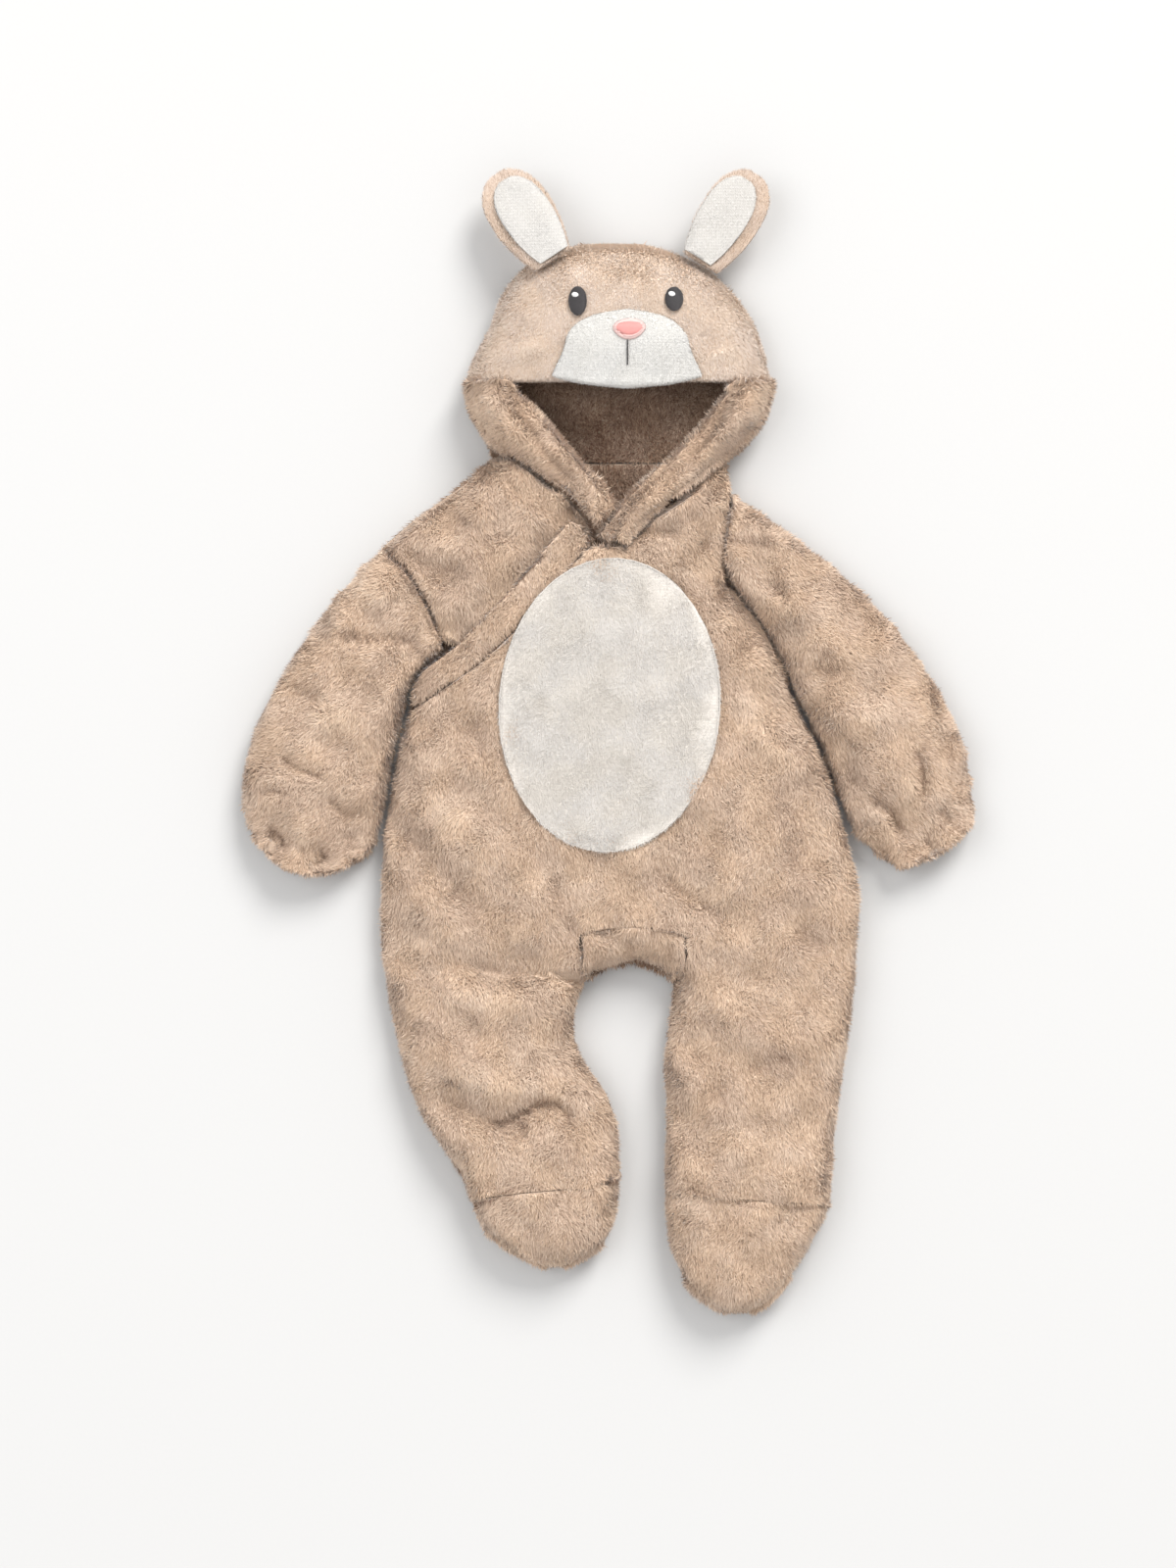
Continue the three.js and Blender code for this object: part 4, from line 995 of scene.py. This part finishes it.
class PRAMSUIT_OT_body(bpy.types.Operator):
    """Make the body's cut pieces: front, back, crotch gusset, the front underneath and its band"""

    bl_idname = "pramsuit.body"
    bl_label = "Body panels"

    def execute(self, context):
        for seed, node in enumerate(("front_panel", "back_panel", "gusset", "under_front", "wrap_band"), 10):
            sew(node, finishes().plush, DOWN_BODY, seed, 1 if node == "back_panel" else 2)
        return {"FINISHED"}


class PRAMSUIT_OT_feet(bpy.types.Operator):
    """Make both feet, each an upper and a sole"""

    bl_idname = "pramsuit.feet"
    bl_label = "Feet"

    def execute(self, context):
        for seed, side in enumerate(("left", "right"), 30):
            for part in ("upper", "sole"):
                sew(f"foot_{part}_{side}", finishes().plush, DOWN_BODY, seed)
        return {"FINISHED"}


class PRAMSUIT_OT_sleeves(bpy.types.Operator):
    """Make both sleeves, tubes of plush that end in an elastic hem"""

    bl_idname = "pramsuit.sleeves"
    bl_label = "Sleeves"

    def execute(self, context):
        for seed, (side, outwards) in enumerate((("left", -1), ("right", 1)), 40):
            sew(f"sleeve_{side}", finishes().plush, (0.35 * outwards, -0.45), seed)
        return {"FINISHED"}


class PRAMSUIT_OT_hood(bpy.types.Operator):
    """Make the hood: its face, its back and the two rolled sides of its opening"""

    bl_idname = "pramsuit.hood"
    bl_label = "Hood"

    def execute(self, context):
        sew("hood_front", finishes().face_plush, (0.0, -0.5), 50)
        sew("hood_back", finishes().plush, (0.0, -0.4), 51)
        for seed, (side, outwards) in enumerate((("left", -1), ("right", 1)), 52):
            sew(f"brim_{side}", finishes().plush, (0.3 * outwards, -0.3), seed)
        return {"FINISHED"}


class PRAMSUIT_OT_ears(bpy.types.Operator):
    """Make both ears, plush behind and white velour inside"""

    bl_idname = "pramsuit.ears"
    bl_label = "Ears"

    def execute(self, context):
        for seed, side in enumerate(("left", "right"), 60):
            sew(f"ear_{side}", finishes().ear_plush, (0.0, 0.5), seed)
            sew(f"ear_lining_{side}", finishes().lining_velour, (0.0, 0.5), seed + 4)
        return {"FINISHED"}


class PRAMSUIT_OT_appliques(bpy.types.Operator):
    """Make the cream belly and the white muzzle"""

    bl_idname = "pramsuit.appliques"
    bl_label = "Belly and muzzle"

    def execute(self, context):
        sew("belly_patch", finishes().velour, (0.0, -0.4), 70)
        sew("muzzle", finishes().face_velour, (0.0, -0.4), 71)
        return {"FINISHED"}


class PRAMSUIT_OT_face(bpy.types.Operator):
    """Embroider the nose, its pale edge, the mouth and the eyes with their highlights"""

    bl_idname = "pramsuit.face"
    bl_label = "Stitched face"

    def execute(self, context):
        made_of = finishes()
        self.nose(made_of)
        self.mouth(made_of)
        self.eyes(made_of)
        return {"FINISHED"}

    @staticmethod
    def padding(node, material, slot):
        """The raised ground under a satin stitch, on the node's own form."""
        piece, _ = copy_of(node, f"{node}_padding", 1, material)
        belong(piece)
        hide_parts(node)

    def nose(self, made_of):
        self.padding("nose", made_of.pink, "pink_thread")
        middle = np.array(middle_of("nose")[:2])
        inside = within_node("nose")
        threads = satin("nose_satin", inside, middle, 11 * MM, math.pi / 2, made_of.pink, 0.62 * MM)
        belong(threads)
        edge = []
        for turn in np.linspace(0, 2 * math.pi, 96, endpoint=False):
            heading = np.array([math.cos(turn), math.sin(turn)])
            reach = max(r for r in np.arange(0, 12 * MM, 0.2 * MM) if inside(*(middle + heading * r)))
            start = middle + heading * (reach - 0.7 * MM)
            slant = np.array([-heading[1], heading[0]]) * 0.5 * MM
            edge.append(laid_thread(start, start + heading * 2.9 * MM + slant, 0.8 * MM, 5))
        belong(cords("nose_edge", edge, 0.4 * MM, made_of.pale_pink))

    def mouth(self, made_of):
        """A line of back stitches under the nose, each just clear of the next."""
        x = middle_of("nose")[0] - 1.2 * MM
        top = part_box("nose")[0][1] - 2.8 * MM
        step = 3.3 * MM
        stitches = [
            laid_thread((x, top - k * step), (x, top - (k + 0.97) * step), 0.7 * MM) for k in range(5)
        ]
        belong(cords("mouth_stitch", stitches, 0.55 * MM, made_of.charcoal))

    def eyes(self, made_of):
        """Both eyes, each with a highlight at its own (X, Y) from the middle, in millimetres."""
        for side, spot in (("left", (-1.8, 4.2)), ("right", (-1.6, 3.4))):
            node = f"eye_{side}"
            self.padding(node, made_of.charcoal, "charcoal_thread")
            x, y = middle_of(node)[:2]
            slant, steep = math.radians(12), math.radians(80)
            threads = satin(f"{node}_satin", within_node(node), (x, y), 12 * MM, slant, made_of.charcoal)
            belong(threads)
            x, y = x + spot[0] * MM, y + spot[1] * MM
            glint = satin(
                f"{node}_highlight",
                lambda px, py, x=x, y=y: math.hypot(px - x, py - y) < 2.2 * MM,
                (x, y), 3 * MM, steep, made_of.highlight, 0.5 * MM, 0.34 * MM, 1.1 * MM,
            )
            belong(glint)


# Each lamp's name, place, width across, share of the key light's power, and colour.
LAMPS = (
    ("key", (3.5, 6.7, 6.4), 4.8, 1.0, (1.0, 0.985, 0.96)),
    ("fill", (-4.6, 1.2, 6.6), 5.8, 0.22, (0.97, 0.985, 1.0)),
)


class PRAMSUIT_OT_stage(bpy.types.Operator):
    """Make the pale floor, the lights and the camera that looks straight down"""

    bl_idname = "pramsuit.stage"
    bl_label = "Floor, lights and camera"

    def execute(self, context):
        settings = context.scene.pramsuit_stage
        self.floor()
        self.lights(context, settings)
        self.camera(context, settings)
        return {"FINISHED"}

    @staticmethod
    def floor():
        bpy.ops.object.select_all(action="DESELECT")
        bpy.ops.mesh.primitive_plane_add(size=6, location=(0, 0, -0.5 * MM))
        floor = bpy.context.object
        floor.name = "floor"
        shade = Shade("studio_paper", Roughness=0.8, Specular_IOR_Level=0.2)
        grain = shade.noise(400.0)
        shade.feed("Base Color", shade.mix(grain, rgba([0.555] * 3), rgba([0.565] * 3)))
        floor.data.materials.append(shade.material)

    @staticmethod
    def lights(context, settings):
        world = bpy.data.worlds.new("studio")
        world.use_nodes = True
        backdrop = world.node_tree.nodes["Background"]
        backdrop.inputs["Color"].default_value = (1.0, 0.99, 0.98, 1.0)
        backdrop.inputs["Strength"].default_value = settings.sky
        context.scene.world = world
        for name, place, size, share, colour in LAMPS:
            lamp = bpy.data.lights.new(name, "AREA")
            lamp.shape = "DISK"
            lamp.size = size
            lamp.energy = settings.key_energy * share
            lamp.color = colour
            holder = bpy.data.objects.new(name, lamp)
            context.scene.collection.objects.link(holder)
            holder.location = place
            holder.rotation_euler = Vector(place).to_track_quat("Z", "Y").to_euler()

    @staticmethod
    def camera(context, settings):
        lens = bpy.data.cameras.new("camera")
        lens.sensor_fit = "VERTICAL"
        lens.sensor_height = 36.0
        suit_height = CAD_BOX[1][2] / 2
        # The view length is measured half-way up the suit.
        lens.lens = lens.sensor_height * (settings.view_height - suit_height) / settings.view_length
        lens.clip_end = 50.0
        camera = bpy.data.objects.new("camera", lens)
        camera.location = (*settings.view_shift, settings.view_height)
        context.scene.collection.objects.link(camera)
        context.scene.camera = camera
        context.scene.view_settings.view_transform = "Standard"


class PRAMSUIT_PT_steps(bpy.types.Panel):
    """The suit's pieces and settings, in the order in which it is made up"""

    bl_idname = "PRAMSUIT_PT_steps"
    bl_label = "Plush pramsuit"
    bl_space_type = "VIEW_3D"
    bl_region_type = "UI"
    bl_category = "Pramsuit"

    def draw(self, context):
        for settings in (context.scene.pramsuit_pile, context.scene.pramsuit_stage):
            box = self.layout.box()
            for name in settings.bl_rna.properties.keys():
                if name not in ("rna_type", "name"):
                    box.prop(settings, name)
        for step in STEPS:
            self.layout.operator(step.bl_idname)


STEPS = (
    PRAMSUIT_OT_body,
    PRAMSUIT_OT_feet,
    PRAMSUIT_OT_sleeves,
    PRAMSUIT_OT_hood,
    PRAMSUIT_OT_ears,
    PRAMSUIT_OT_appliques,
    PRAMSUIT_OT_face,
    PRAMSUIT_OT_stage,
)
CLASSES = (PileSettings, StageSettings, *STEPS, PRAMSUIT_PT_steps)


def register():
    for each in CLASSES:
        bpy.utils.register_class(each)
    bpy.types.Scene.pramsuit_pile = PointerProperty(type=PileSettings)
    bpy.types.Scene.pramsuit_stage = PointerProperty(type=StageSettings)


def unregister():
    del bpy.types.Scene.pramsuit_stage
    del bpy.types.Scene.pramsuit_pile
    for each in reversed(CLASSES):
        bpy.utils.unregister_class(each)


def main():
    register()
    for step in STEPS:
        group, name = step.bl_idname.split(".")
        getattr(getattr(bpy.ops, group), name)()


if __name__ == "__main__":
    main()
